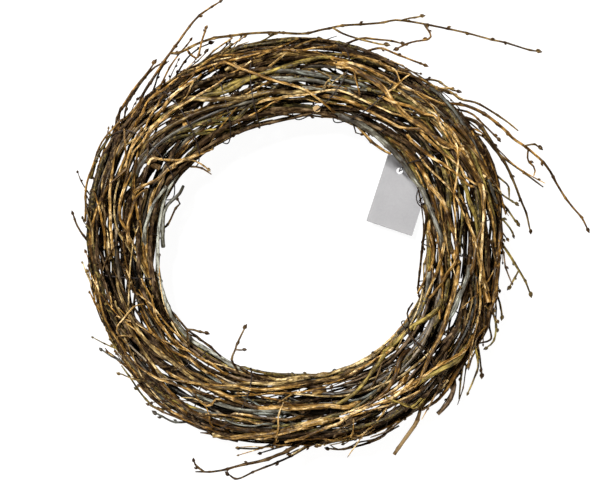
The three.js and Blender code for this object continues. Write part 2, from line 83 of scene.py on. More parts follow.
# Loose sprigs: radius in mm, kind, then angle, distance from the ring's centre and height over its
# middle. A fork may grow from another sprig, and any other sprig grows from the bundle.
sprigs = [
    (1.05, "sprig", [(-46, 102, 6), (-38, 105.5, 8), (-31, 110, 9), (-25, 116, 9), (-20, 119.5, 9),
        (-17, 120.5, 9)]),
    (0.8, "sprig", [(-54, 105.5, 2), (-50, 106.5, 3), (-46, 107.5, 3), (-40, 109, 3),
        (-38, 110, 3)]),
    (0.8, "fork", [(-31, 106, 10), (-25, 105, 11), (-18, 103.5, 11), (-12, 102, 11),
        (-6, 100.5, 11), (3, 99.5, 11), (8, 103, 9), (13, 106.5, 8), (22, 113.5, 8), (25, 117.5, 8),
        (35, 125.5, 8), (39, 129.5, 8), (46, 138.5, 7), (51, 146.5, 6), (52.5, 150, 6)]),
    (0.6, "fork", [(27.5, 121, 9), (30, 124.5, 9)]),
    (0.65, "fork", [(34, 118, 10), (31, 111, 12), (28, 104, 14)]),
    (0.65, "fork", [(13, 102, 12), (18, 101.5, 12.5), (24, 103, 12.5), (25.5, 104, 12.5)]),
    (0.75, "sprig", [(18, 103, 3), (23, 106, 4), (26, 108, 5), (29, 109.5, 5)]),
    (0.75, "sprig", [(24, 103.5, -2), (28, 104.5, -2), (35, 106, -1), (37, 107, -1)]),
    (0.7, "sprig", [(42, 104.5, 2), (45, 105.5, 3), (48, 108, 3)]),
    (0.75, "sprig", [(-56, 106, -4), (-50, 107, -5), (-44, 108.5, -5), (-39, 109.5, -5),
        (-36, 108.5, -5)]),
    (0.65, "fork", [(-28, 99, 15), (-25, 105, 15.5), (-22.5, 110.5, 15)]),
    (0.95, "sprig", [(46, 104, 9), (50, 106, 9), (53, 110, 9), (61, 118, 9), (64, 121, 9)]),
    (1.05, "sprig", [(52, 106.5, 3), (57, 112, 3), (62, 116, 3), (65, 118, 3), (68, 122, 3),
        (72, 126.5, 3), (75, 129.5, 2), (78, 131.5, 2), (83, 137, 1), (86, 141.5, 1),
        (88, 144, 1)]),
    (0.6, "fork", [(68.5, 126, 5), (69.5, 128, 5)]),
    (0.6, "fork", [(71, 121.5, 0), (73.5, 123.5, -1), (75, 121.5, -1)]),
    (0.75, "sprig", [(54, 106.5, -3), (58, 108.5, -3), (64, 112, -3)]),
    (0.75, "sprig", [(61, 106.5, -8), (66, 109, -8), (70, 113, -7), (76, 122, -6), (78, 126, -6)]),
    (1.4, "sprig", [(57, 105, 8), (62, 106.5, 8), (67, 107.5, 7), (71, 109, 6), (77, 111, 5),
        (83, 113.5, 4), (88, 115.5, 4)]),
    (0.65, "sprig", [(74, 106.5, -2), (76, 109, -2), (79, 107.5, -3)]),
    (0.6, "sprig", [(79, 105, 9), (81, 109, 10)]),
    (0.7, "sprig", [(81, 105.5, -6), (86, 111.5, -7)]),
    (0.65, "sprig", [(86, 104.5, 2), (89, 107.5, 2)]),
    (0.95, "sprig", [(93, 105, 0), (96, 109, 0), (99, 113, 0), (101, 116, 0), (103, 119, 0)]),
    (0.6, "fork", [(100.5, 109, 1), (102.5, 107.5, 1)]),
    (0.75, "sprig", [(107, 105.5, -2), (110.5, 109, -2)]),
    (0.75, "sprig", [(113, 106.5, 5), (117, 109, 6), (119.5, 107, 6)]),
    (0.75, "sprig", [(122, 108, -4), (126, 114, -5)]),
    (0.75, "sprig", [(124, 108, 8), (128, 110.5, 8), (131.5, 112.5, 8)]),
    (0.75, "sprig", [(130, 108, -6), (134, 113.5, -7)]),
    (1.4, "cutSprig", [(134, 107.5, 3), (137, 109.5, 3), (140.5, 110, 3)]),
    (1.2, "cutSprig", [(146, 106.5, 6), (150, 110, 6), (155, 115, 6)]),
    (0.8, "sprig", [(155, 106, -4), (160, 106.5, -5), (165, 106, -5), (168, 105.5, -5),
        (171, 104, -5)]),
    (1.3, "sprig", [(182, 103.5, 4), (185, 105.5, 4), (190, 110, 4), (194, 113.5, 4), (198, 118, 4),
        (203, 123, 4)]),
    (0.75, "fork", [(203.5, 120, 5), (204.5, 117.5, 5)]),
    (0.7, "sprig", [(179, 104, -3), (185, 110.5, -3), (190, 116, -3), (193.5, 121, -3),
        (196, 119.5, -3)]),
    (0.65, "sprig", [(189, 104.5, -7), (195, 107, -8)]),
    (0.75, "sprig", [(213, 106, 5), (217, 107, 6), (219, 107.5, 6)]),
    (0.7, "sprig", [(219, 106.5, -2), (224, 106.5, -2), (229, 105.5, -2), (234, 105, -2)]),
    (0.7, "sprig", [(237, 105, 5), (240.5, 108, 5)]),
    (0.75, "sprig", [(273, 105, 4), (277, 108.5, 4)]),
    (0.8, "sprig", [(230, 67, 9), (226, 64, 9), (223, 61.5, 9)]),
    (0.75, "sprig", [(208, 65, 6), (208, 62, 7), (209, 58, 8), (209, 48, 9)]),
    (0.6, "fork", [(206, 59.5, 8), (204, 58.5, 8)]),
    (0.7, "sprig", [(277, 63, -2), (285, 60.5, -2), (288, 59, -2), (289.5, 61, -2)]),
    (0.7, "sprig", [(308, 57.5, 3), (309, 51.5, 3)]),
]
barkOrder = ["dark_bark", "golden_bark", "olive_bark", "dark_bark", "grey_bark"]


def draw(a, b, c):
    # A repeatable draw from 0 to 1 for any three numbers
    wave = math.sin(a * 127.1 + b * 311.7 + c * 74.7) * 43758.5453
    return wave - math.floor(wave)


def between(limits, share):
    low, high = limits
    return low + (high - low) * share


def edgeAt(values, angle):
    # A smooth closed curve through values that stand at equal angles
    count = len(values)
    place = angle % 360 / (360 / count)
    first = math.floor(place)
    t = place - first
    a, b, c, d = [values[(first + step + count) % count] for step in (-1, 0, 1, 2)]
    return b + 0.5 * t * (c - a + t * (2 * a - 5 * b + 4 * c - d + t * (3 * (b - c) + d - a)))


def bandAt(angle):
    # The middle radius of the ring's band and half its width
    outer = edgeAt(ring["outerEdge"], angle)
    inner = edgeAt(ring["innerEdge"], angle)
    return (outer + inner) / 2, (outer - inner) / 2


def polarPoint(angle, radius, height):
    turn = math.radians(angle)
    centreX, centreY = ring["centre"]
    return Vector((centreX + radius * math.sin(turn), centreY + radius * math.cos(turn), height))


def placeOnRing(point):
    # The angle and the distance from the ring's centre at which a point is seen from the front
    centreX, centreY = ring["centre"]
    right, ahead = point.x - centreX, point.y - centreY
    return math.degrees(math.atan2(right, ahead)), math.hypot(right, ahead)


def bundlePoint(angle, reach, turn, offset=0.0):
    # The turn goes round the bundle from its outer edge over the top
    middle, halfWidth = bandAt(angle)
    across = halfWidth * reach + offset
    up = ring["halfDepth"] * reach + offset
    radius = middle + across * math.cos(turn)
    return polarPoint(angle, radius, ring["midHeight"] + up * math.sin(turn))


def slotPoint(layer, lane, slot, station, reach):
    angle = station * ring["stationAngle"]
    turn = 2 * math.pi * lane / layer["lanes"]
    turn += (slot - (layer["slots"] - 1) / 2) * 2 * math.pi / (layer["lanes"] * layer["slots"])
    for size, count, phase in layer["turnWaves"]:
        turn += size * math.sin(count * math.radians(angle) + phase)
    return bundlePoint(angle, reach, turn)


def stationsBetween(start, end):
    first, last = start + ring["shortestStep"], end - ring["shortestStep"]
    inside = [n for n in range(math.floor(start) + 1, math.ceil(end)) if first < n < last]
    return [start, *inside, end]


def taper(count, thick, tip, seed):
    radii = []
    for index in range(count):
        even = thick + (tip - thick) * index / (count - 1)
        knot = 0 < index < count - 1 and draw(seed, index, 5) > knotSwelling["limit"]
        radii.append(even * knotSwelling["swell"] if knot else even)
    return radii


def pointAlong(points, stations, station):
    index = 0
    while index < len(stations) - 2 and stations[index + 1] < station:
        index += 1
    share = (station - stations[index]) / (stations[index + 1] - stations[index])
    return points[index].lerp(points[index + 1], share)


def branchTwigs(layerIndex, lane, arc, nudge):
    # A stem from its cut end to its tip, and its side shoots beside it
    layer = layers[layerIndex]
    seed = layerIndex * 100 + lane * 10 + arc
    stagger = (lane * ring["laneStagger"] + layer["laneShift"]) % ring["arcStations"]
    start = arc * ring["arcStations"] + stagger
    firstSlot = 1 if layerIndex == 0 else 0
    slot = firstSlot + (arc + lane) % ring["stemSlots"]
    nextSlot = firstSlot + ((arc + 1) % ring["arcs"] + lane) % ring["stemSlots"]
    reach = layer["reach"] + nudge
    stations = stationsBetween(start, start + between(stem["length"], draw(seed, 1, 1)))
    points = [slotPoint(layer, lane, slot, station, reach) for station in stations]
    thick = layer["thick"] * between(stem["thickness"], draw(seed, 2, 1))
    twigs = [{"points": points, "radii": taper(len(points), thick, stem["tip"], seed),
              "kind": "stem", "seed": seed}]
    offsets = [n - slot for n in range(layer["slots"]) if n != slot]
    if layer["lanes"] == 1:
        offsets = [-1, 1]
    furthest = max(abs(offset) for offset in offsets)
    for offset in offsets:
        key = offset + 5
        distance = abs(offset)
        root = start + shoot["first"] + shoot["spacing"] * (furthest - distance)
        root += shoot["jitter"] * draw(seed, key, 2)
        meetsCutEnd = (slot + offset + layer["slots"]) % layer["slots"] == nextSlot
        freeTip = between(shoot["tipLength"], draw(seed, key, 3))
        tip = start + (shoot["beforeCutEnd"] if meetsCutEnd else freeTip)
        drift = layer["wander"] * (2 * draw(seed, key, 4) - 1)
        shootPoints = [pointAlong(points, stations, root)]
        for station in stationsBetween(root, tip)[1:]:
            share = min(1, (station - root) / (shoot["swing"] * distance))
            fan = 1 + shoot["fan"] * (station - root) / (tip - root)
            shootPoints.append(slotPoint(layer, lane, slot + offset * share * fan, station,
                                         reach + drift * share))
        thick = shoot["thick"] * between(shoot["thickness"], draw(seed, key, 6))
        shootSeed = seed * 7 + offset
        radii = taper(len(shootPoints), thick, shoot["tip"], shootSeed)
        twigs.append({"points": shootPoints, "radii": radii, "kind": "shoot", "seed": shootSeed})
    return twigs


def nearestOnTwigs(branches, place, withSprigs):
    # The branch that comes nearest to a place, where it does, and how thick it is there
    best = None
    for branch in branches:
        for twig in branch["twigs"]:
            if not withSprigs and twig["kind"] not in ("stem", "shoot"):
                continue
            for index, (a, b) in enumerate(zip(twig["points"], twig["points"][1:])):
                along = b - a
                share = min(1, max(0, (place - a).dot(along) / along.length_squared))
                near = a + along * share
                distance = (near - place).length
                if best is None or distance < best[0]:
                    best = (distance, branch, near, twig["radii"][index])
    return best[1:]


def makeBranches():
    branches = []
    for layerIndex, layer in enumerate(layers):
        for lane in range(layer["lanes"]):
            for arc in range(ring["arcs"]):
                number = lane * ring["arcs"] + arc + 1
                name = f"{layer['name']}_{number}"
                twigs = branchTwigs(layerIndex, lane, arc, nudges.get(name, 0))
                branches.append({"name": name, "bark": barkOrder[number % len(barkOrder)],
                                 "layer": layerIndex, "twigs": twigs})
    outerBranches = [branch for branch in branches if branch["layer"] == 0]
    for index, (thick, kind, places) in enumerate(sprigs):
        angle, radius, height = places[0]
        lead = sprigShape["forkLead" if kind == "fork" else "rootLead"]
        behind = polarPoint(angle - lead, radius, ring["midHeight"] + height)
        branch, root, rootThick = nearestOnTwigs(outerBranches, behind, kind == "fork")
        points = [root] + [polarPoint(a, r, ring["midHeight"] + h) for a, r, h in places]
        tip = thick * sprigShape["bluntTaper"] if kind == "cutSprig" else sprigShape["tip"]
        radii = [thick + (tip - thick) * n / (len(points) - 1) for n in range(len(points))]
        radii[0] = min(radii[0], rootThick)
        branch["twigs"].append({"points": points, "radii": radii,
                                "kind": "sprig" if kind == "fork" else kind,
                                "seed": sprigShape["seed"] + index})
    for angle in spur["angles"]:
        radius = bandAt(angle)[0]
        place = polarPoint(angle, radius, ring["midHeight"] - ring["halfDepth"])
        branch, root, rootThick = nearestOnTwigs(outerBranches, place, False)
        knee = Vector((root.x, root.y, spur["endHeight"]))
        foot = Vector((root.x, root.y, 0))
        branch["twigs"].append({"points": [root, knee, foot], "kind": "spur",
                                "radii": [spur["rootRadius"], spur["radius"], spur["radius"]],
                                "seed": spur["seed"] + angle})
    return branches


# How each kind of twig grows: its sides, the length between its knots, crookedness, swelling at the
# knots, share of the solid's thickness, how many knots carry a bud, how thick such a bud and the
# one at the tip are, how much of its radius the tip keeps, and whether it ends in a cut
growthFields = ("sides", "internode", "crook", "swell", "thick", "buds", "budSize", "tipBud", "tip",
                "cut")
growthRows = {
    "stem": (8, 16, 0.9, 0.2, 0.66, 0.1, 0.32, 0, 1, False),
    "shoot": (7, 11, 0.9, 0.25, 0.7, 0.3, 0.32, 0, 0.7, False),
    "sprig": (6, 9.5, 0.5, 0.38, 0.84, 0.5, 0.4, 0.75, 0.7, False),
    "cutSprig": (8, 12, 0.2, 0.2, 0.9, 0, 0, 0, 1, True),
    "spur": (9, 30, 0, 0, 1, 0, 0, 0, 1, True),
    "front": (8, 13, 0.6, 0.22, 0.85, 0.12, 0.32, 0, 1, False),
    "thin": (6, 9, 0.6, 0.28, 1, 0.25, 0.32, 0.5, 0.7, False),
    "fine": (5, 8, 0.7, 0.35, 1, 0.35, 0.32, 0.5, 0.7, False),
    "stub": (9, 30, 0, 0, 1, 0, 0, 0, 1, True),
    "side": (5, 5, 0.3, 0.35, 1, 0.7, 0.32, 0.5, 0.7, False),
}
growth = {kind: dict(zip(growthFields, row)) for kind, row in growthRows.items()}
tube = {
    "ringSpacing": 3.4, "pathStep": 1.0, "thinnest": 0.22, "uneven": 0.14, "toneSpread": 0.3,
    "capInset": 0.22, "capRim": 0.9, "steepest": 0.8, "flattest": 0.2, "grainShift": 200,
    "pickGain": 2.5,
}
# A pair gives the limits of a draw. Knots are measured in mm, buds in shares of their size.
knotRule = {
    "first": (0.25, 0.85), "next": (0.6, 1.4), "beforeTip": 1.5, "half": 1.1, "after": 0.7,
    "clear": 1.4, "fade": 1.2, "endGap": 0.2, "bend": (0.4, 1), "swell": (0.5, 1.5),
    "dark": (0.3, 1),
}
bud = {
    "along": (-0.6, 0.3, 1.1, 2.2), "out": (0.1, 0.7, 1.1, 1.3), "radii": (0.55, 1, 0.75, 0.12),
    "dark": (0.6, 0.8, 0.9, 0.8), "sides": 5, "uneven": 0.1, "sizeRange": 0.36, "turn": 1.5,
    "sunk": 0.6, "tipShare": 0.7, "tipRange": 0.3, "tipSunk": 0.5, "tipRise": 0.05,
    "pairShare": 0.6, "pairSize": 0.8,
}
# Painted shade: bark darker in the bundle's middle and at the ring's outer edge; painted light:
# paler at the inner edge
shadow = {"surface": 0.97, "buriedPaintedShade": 0.95, "edgeAt": 0.85, "edgeWidth": 0.4, "edgePaintedShadeAndLight": 0.16}


def smoothPath(points):
    # A curve through the points, cut into short steps, with its length and its place at each step
    marks = [0.0]
    for a, b in zip(points, points[1:]):
        marks.append(marks[-1] + max((b - a).length, 1e-4))
    last = len(points) - 1
    slopes = []
    for index in range(len(points)):
        before, after = max(index - 1, 0), min(index + 1, last)
        slopes.append((points[after] - points[before]) / (marks[after] - marks[before]))
    path, lengths, shares = [points[0].copy()], [0.0], [0.0]
    for index in range(last):
        gap = marks[index + 1] - marks[index]
        steps = max(1, math.ceil(gap / tube["pathStep"]))
        for step in range(1, steps + 1):
            t = step / steps
            path.append(points[index] * (2 * t ** 3 - 3 * t ** 2 + 1)
                        + slopes[index] * gap * (t ** 3 - 2 * t ** 2 + t)
                        + points[index + 1] * (3 * t ** 2 - 2 * t ** 3)
                        + slopes[index + 1] * gap * (t ** 3 - t ** 2))
            lengths.append(lengths[-1] + (path[-1] - path[-2]).length)
            shares.append(index + t)
    return path, lengths, shares


def lookUp(marks, values, place):
    # The value at a place between marks
    low, high = 0, len(marks) - 1
    while high - low > 1:
        middle = (low + high) // 2
        if marks[middle] <= place:
            low = middle
        else:
            high = middle
    share = min(1, max(0, (place - marks[low]) / max(marks[high] - marks[low], 1e-9)))
    return between((values[low], values[high]), share)


def headingAt(path, lengths, place):
    after = lookUp(lengths, path, min(lengths[-1], place + 1))
    return (after - lookUp(lengths, path, max(0, place - 1))).normalized()


def levelAcross(along):
    # The level direction across a twig
    level = upright.cross(along)
    return level.normalized() if level.length > tube["flattest"] else Vector((1, 0, 0))


def aroundTwig(along, turn):
    level = levelAcross(along)
    return level * math.cos(turn) + along.cross(level) * math.sin(turn)


# The painted shade a point gets, deep in the bundle and at the outer edge, and painted light (below
# nought) at the inner edge
def paintedShadeAndLight(point):
    angle, distance = placeOnRing(point)
    middle, halfWidth = bandAt(angle)
    across = (distance - middle) / halfWidth
    up = (point.z - ring["midHeight"]) / ring["halfDepth"]
    buried = 1 - math.hypot(across, up) / shadow["surface"]
    edge = max(0, 1 - abs(abs(across) - shadow["edgeAt"]) / shadow["edgeWidth"])
    edgeShadeAndLight = math.copysign(shadow["edgePaintedShadeAndLight"] * edge, across)
    return shadow["buriedPaintedShade"] * min(1, max(0, buried)) + edgeShadeAndLight


def addLayers(bm):
    # What the bark reads: its place on the twig, then tone with painted shade, knot and cut wood,
    # then its colours
    vectors, numbers = bm.verts.layers.float_vector, bm.verts.layers.float
    return vectors.new("grain"), vectors.new("shade"), numbers.new("pick")


scratchMesh = bpy.data.meshes.new("scratch")


def addTube(bm, points, radii, marks, knots, tones, sides, seed, uneven=0, pick=0, cut=False):
    # A rod of unit radius is cut into rings, and each ring is moved to its place on the twig
    last = len(points) - 1
    rod = bmesh.new()
    grainLayer, shadeLayer, pickLayer = addLayers(rod)
    bmesh.ops.create_cone(rod, cap_ends=True, segments=sides, radius1=1, radius2=1, depth=last,
                          matrix=Matrix.Translation((0, 0, last / 2)))
    if last > 1:
        lengthwise = [e for e in rod.edges if abs(e.verts[0].co.z - e.verts[1].co.z) > 0.5]
        bmesh.ops.subdivide_edges(rod, edges=lengthwise, cuts=last - 1)
    rod.normal_update()
    ends = [face for face in rod.faces if abs(face.normal.z) > 0.5]
    bmesh.ops.inset_individual(rod, faces=ends, thickness=tube["capInset"])
    shift = Vector([draw(seed, n, 11) for n in (1, 2, 3)]) * tube["grainShift"]
    side = None
    frames = []
    for index in range(last + 1):
        along = (points[min(index + 1, last)] - points[max(index - 1, 0)]).normalized()
        if side is None:
            side = (upright if abs(along.z) < tube["steepest"] else Vector((1, 0, 0))).cross(along)
        side = (side - along * side.dot(along)).normalized()
        frames.append((side, along.cross(side)))
    # The tone takes the painted shade and light of the twig's place in the bundle
    tones = [tone - paintedShadeAndLight(point) for tone, point in zip(tones, points)]
    for vert in rod.verts:
        x, y, z = vert.co
        index = min(last, max(0, round(z)))
        radius = radii[index]
        bump = 1 + uneven * (draw(seed, index, round(math.atan2(y, x) * 10)) - 0.5)
        across, up = frames[index]
        vert.co = (points[index] + across * x * radius * bump + up * y * radius * bump) * mm
        vert[grainLayer] = Vector((x * radius, y * radius, marks[index])) + shift
        isCut = math.hypot(x, y) < tube["capRim"] and (index == 0 or cut)
        vert[shadeLayer] = (tones[index], knots[index], 1.0 if isCut else 0.0)
        vert[pickLayer] = pick
    rod.to_mesh(scratchMesh)
    rod.free()
    bm.from_mesh(scratchMesh)


def addBud(bm, base, along, out, size, tone, pick, seed):
    # A pointed bud that lies along the twig
    points = [base + along * size * a + out * size * b for a, b in zip(bud["along"], bud["out"])]
    addTube(bm, points, [size * share for share in bud["radii"]], [size * n for n in range(4)],
            bud["dark"], [tone] * 4, bud["sides"], seed, bud["uneven"], pick)


def knotPlaces(kind, seed, length):
    knots = []
    place = kind["internode"] * between(knotRule["first"], draw(seed, 0, 21))
    while place < length - knotRule["beforeTip"]:
        knots.append(place)
        place += kind["internode"] * between(knotRule["next"], draw(seed, len(knots), 21))
    return knots


def ringPlaces(knots, length):
    # Rings at even distances, and closer ones at the knots
    half, clear = knotRule["half"], knotRule["half"] * knotRule["clear"]
    places = {0.0, length}
    previous = 0.0
    for stop in [*knots, length]:
        count = max(1, math.ceil((stop - previous) / tube["ringSpacing"]))
        places.update(previous + (stop - previous) * n / count for n in range(1, count))
        previous = stop
    places = [place for place in places
              if place in (0.0, length) or all(abs(place - knot) > clear for knot in knots)]
    for knot in knots:
        places += [place for place in (knot - half, knot, knot + half * knotRule["after"])
                   if knotRule["endGap"] < place < length - knotRule["endGap"]]
    return sorted(places)


def growTwig(bm, kindName, guide, guideRadii, seed, tone, pick=None):
    kind = growth[kindName]
    if pick is None:
        pick = min(1, max(0, tube["pickGain"] * draw(seed, 9, 61) - 1))
    path, lengths, shares = smoothPath(guide)
    length = lengths[-1]
    knots = knotPlaces(kind, seed, length)
    places = ringPlaces(knots, length)
    # The twig bends a little at each knot
    bendMarks = [0.0, *knots, length]
    bendX, bendY = [0.0], [0.0]
    for index in range(1, len(bendMarks)):
        angle = 2 * math.pi * draw(seed, index, 22)
        size = kind["crook"] * between(knotRule["bend"], draw(seed, index, 23))
        bendX.append(size * math.cos(angle))
        bendY.append(size * math.sin(angle))
    points, radii, dark, tones = [], [], [], []
    for place in places:
        ahead = headingAt(path, lengths, place)
        level = levelAcross(ahead)
        points.append(lookUp(lengths, path, place) + level * lookUp(bendMarks, bendX, place)
                      + ahead.cross(level) * lookUp(bendMarks, bendY, place))
        share = lookUp(lengths, shares, place)
        low = min(int(share), len(guideRadii) - 2)
        radius = between(guideRadii[low:low + 2], share - low) * kind["thick"]
        fade = knotRule["half"] * knotRule["fade"]
        closeness = max([0.0] + [1 - abs(place - knot) / fade for knot in knots])
        size = kind["swell"] * between(knotRule["swell"], draw(seed, round(place), 24))
        radii.append(max(tube["thinnest"], radius) * (1 + size * closeness))
        internode = sum(1 for knot in knots if knot < place)
        tones.append(tone + tube["toneSpread"] * (draw(seed, internode, 61) - 0.5))
        dark.append(closeness * between(knotRule["dark"], draw(seed, internode, 62)))
    radii[-1] *= kind["tip"]
    addTube(bm, points, radii, places, dark, tones, kind["sides"], seed, tube["uneven"], pick,
            kind["cut"])
    # Buds stand at the knots, in turn to either side, and at the tip
    for index, knot in enumerate(knots):
        if draw(seed, index, 25) < kind["buds"]:
            along = headingAt(path, lengths, knot)
            out = aroundTwig(along, math.pi * index + bud["turn"] * draw(seed, index, 26))
            nearest = min(range(len(places)), key=lambda n: abs(places[n] - knot))
            base = points[nearest] + out * radii[nearest] * bud["sunk"]
            size = kind["budSize"] + bud["sizeRange"] * draw(seed, index, 27)
            addBud(bm, base, along, out, size, tone, pick, seed + index)
    if kind["tipBud"] and draw(seed, 7, 28) < bud["tipShare"]:
        along = (points[-1] - points[-2]).normalized()
        size = kind["tipBud"] + bud["tipRange"] * draw(seed, 8, 28)
        addBud(bm, points[-1] - along * bud["tipSunk"], along, upright * bud["tipRise"], size,
               tone, pick, seed + 50)
        if draw(seed, 9, 28) < bud["pairShare"]:
            addBud(bm, points[-1] - along * size, along, levelAcross(along) * bud["pairSize"],
                   size * bud["pairSize"], tone, pick, seed + 51)


def tapering(thick, root, loss, count):
    # Radii that fall evenly from the root to the tip
    return [thick * (root - loss * n / (count - 1)) for n in range(count)]


def makePiece(name, slotName, nodes, build, *parts):
    bm = bmesh.new()
    addLayers(bm)
    build(bm, *parts)
    for face in bm.faces:
        face.smooth = True
    mesh = bpy.data.meshes.new(name)
    bm.to_mesh(mesh)
    bm.free()
    mesh.set_sharp_from_angle(angle=math.radians(50))
    mesh.materials.append(finishes[slotName])
    piece = bpy.data.objects.new(name, mesh)
    scene.collection.objects.link(piece)
    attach(piece, "root")
    if nodes:
        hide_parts(*nodes)
    return piece


# Bark colours from the deepest to the palest, once as most twigs have them and once as the
# others do, then the flecks, how rough and how glossy each bark is and the tint of its gloss
barks = {
    "dark_bark": {
        "colours": [(0.003, 0.0012, 0.0004), (0.012, 0.0055, 0.0017), (0.053, 0.029, 0.0095),
                    (0.23, 0.155, 0.072)],
        "others": [(0.0022, 0.0012, 0.0007), (0.011, 0.006, 0.0034), (0.05, 0.031, 0.018),
                   (0.23, 0.16, 0.1)],
        "flecks": (0.17, 0.11, 0.05), "fleckAmount": 0.45, "rough": (0.38, 0.62), "gloss": 0.14,
        "tint": (1, 0.72, 0.46),
    },
    "golden_bark": {
        "colours": [(0.01, 0.0038, 0.0005), (0.084, 0.037, 0.005), (0.345, 0.18, 0.034),
                    (0.8, 0.59, 0.3)],
        "others": [(0.011, 0.006, 0.002), (0.078, 0.047, 0.014), (0.31, 0.215, 0.078),
                   (0.76, 0.6, 0.33)],
        "flecks": (0.04, 0.019, 0.006), "fleckAmount": 0.75, "rough": (0.28, 0.5), "gloss": 0.28,
        "tint": (1, 0.88, 0.7),
    },
    "olive_bark": {
        "colours": [(0.006, 0.0034, 0.001), (0.033, 0.0215, 0.0045), (0.15, 0.105, 0.018),
                    (0.42, 0.31, 0.068)],
        "others": [(0.005, 0.0038, 0.0014), (0.029, 0.0225, 0.006), (0.12, 0.098, 0.027),
                   (0.36, 0.295, 0.095)],
        "flecks": (0.31, 0.22, 0.065), "fleckAmount": 0.5, "rough": (0.34, 0.6), "gloss": 0.28,
        "tint": (1, 0.9, 0.74),
    },
    "grey_bark": {
        "colours": [(0.0095, 0.0066, 0.0042), (0.046, 0.044, 0.034), (0.132, 0.148, 0.124),
                    (0.42, 0.46, 0.41)],
        "others": [(0.01, 0.007, 0.0035), (0.06, 0.042, 0.023), (0.22, 0.165, 0.098),
                   (0.52, 0.42, 0.28)],
        "flecks": (0.04, 0.03, 0.015), "fleckAmount": 0.55, "rough": (0.34, 0.6), "gloss": 0.4,
        "tint": (1, 1, 0.98),
    },
}
# Each noise has its scale, detail, roughness and stretch, and moves the tone by so much from its
# middle or adds so much to the height
barkPattern = {
    "streaks": (1.15, 3, 0.6, (1, 1, 0.16)), "streakTone": (0.5, 1.9), "streakHeight": 0.7,
    "patches": (0.9, 3, 0.6, (0.4, 0.4, 0.15)), "patchTone": (0.555, 1.6),
    "scales": (1, 4, 0.62, (0.6, 0.6, 0.6)), "scaleHeight": 0.6, "fleckEdge": (0.53, 0.6),
    "stops": (0, 0.33, 0.66, 1), "edge": (0.3, 0.7), "bump": (0.9, 0.0004),
    "knot": (0.022, 0.011, 0.007), "knotStrength": 0.7,
    "cutWood": [(0.275, 0.1815, 0.088), (0.5, 0.33, 0.16)],
}
wireMetal = {
    "spots": (0.9, 3, 0.6), "spotEdge": (0.35, 0.65), "roughEdge": (0.3, 0.7), "rough": (0.45, 0.7),
    "colours": [(0.012, 0.0095, 0.009), (0.036, 0.025, 0.021)], "metallic": 0.15, "gloss": 0.2,
}
cardStock = {
    "fibres": (900, 4, 0.7), "fibreShare": 0.4, "clouds": (60, 2, 0.5), "cloudShare": 0.6,
    "edge": (0.35, 0.65), "colours": [(0.266, 0.262, 0.267), (0.322, 0.316, 0.321)],
    "rough": 0.42, "bump": (0.12, 0.0001),
}


class NodeTree:
    # Short words for adding nodes to a material and joining them
    def __init__(self, name):
        self.material = bpy.data.materials.new(name)
        self.material.use_nodes = True
        self.tree = self.material.node_tree
        self.shader = self.tree.nodes["Principled BSDF"]

    def put(self, socket, value):
        if isinstance(value, bpy.types.NodeSocket):
            self.tree.links.new(value, socket)
        else:
            socket.default_value = value

    def add(self, kind, settings, inputs):
        node = self.tree.nodes.new("ShaderNode" + kind)
        for key, value in settings.items():
            setattr(node, key, value)
        for key, value in inputs.items():
            self.put(node.inputs[key], value)
        return node

    def attribute(self, name, output="Vector"):
        return self.add("Attribute", {"attribute_name": name}, {}).outputs[output]

    def noise(self, vector, scale, detail, roughness, stretch=None):
        if stretch:
            vector = self.add("Mapping", {}, {"Vector": vector, "Scale": stretch}).outputs[0]
        return self.add("TexNoise", {}, {"Vector": vector, "Scale": scale, "Detail": detail,
                                         "Roughness": roughness}).outputs[0]

    def math(self, operation, a, b, clamp=False):
        settings = {"operation": operation, "use_clamp": clamp}
        return self.add("Math", settings, {0: a, 1: b}).outputs[0]

    def shift(self, value, noise, middle, strength, clamp=False):
        # The value moved up or down by a noise
        change = self.math("MULTIPLY", self.math("SUBTRACT", noise, middle), strength)
        return self.math("ADD", value, change, clamp)

    def mix(self, share, a, b):
        node = self.add("Mix", {"data_type": "RGBA"}, {"Factor": share, 6: a, 7: b})
        return node.outputs[2]

    def ramp(self, value, positions, colours):
        node = self.add("ValToRGB", {}, {0: value})
        elements = node.color_ramp.elements
        while len(elements) < len(positions):
            elements.new(0.5)
        for element, position, colour in zip(elements, positions, colours):
            element.position = position
            element.color = (*colour, 1)
        return node.outputs[0]

    def remap(self, value, start, end):
        inputs = {"Value": value, "From Min": start[0], "From Max": start[1],
                  "To Min": end[0], "To Max": end[1]}
        return self.add("MapRange", {}, inputs).outputs[0]

    def bump(self, strength, distance, height):
        inputs = {"Strength": strength, "Distance": distance, "Height": height}
        return self.add("Bump", {}, inputs).outputs[0]

    def finish(self, sockets):
        for name, value in sockets.items():
            self.put(self.shader.inputs[name], value)
        return self.material


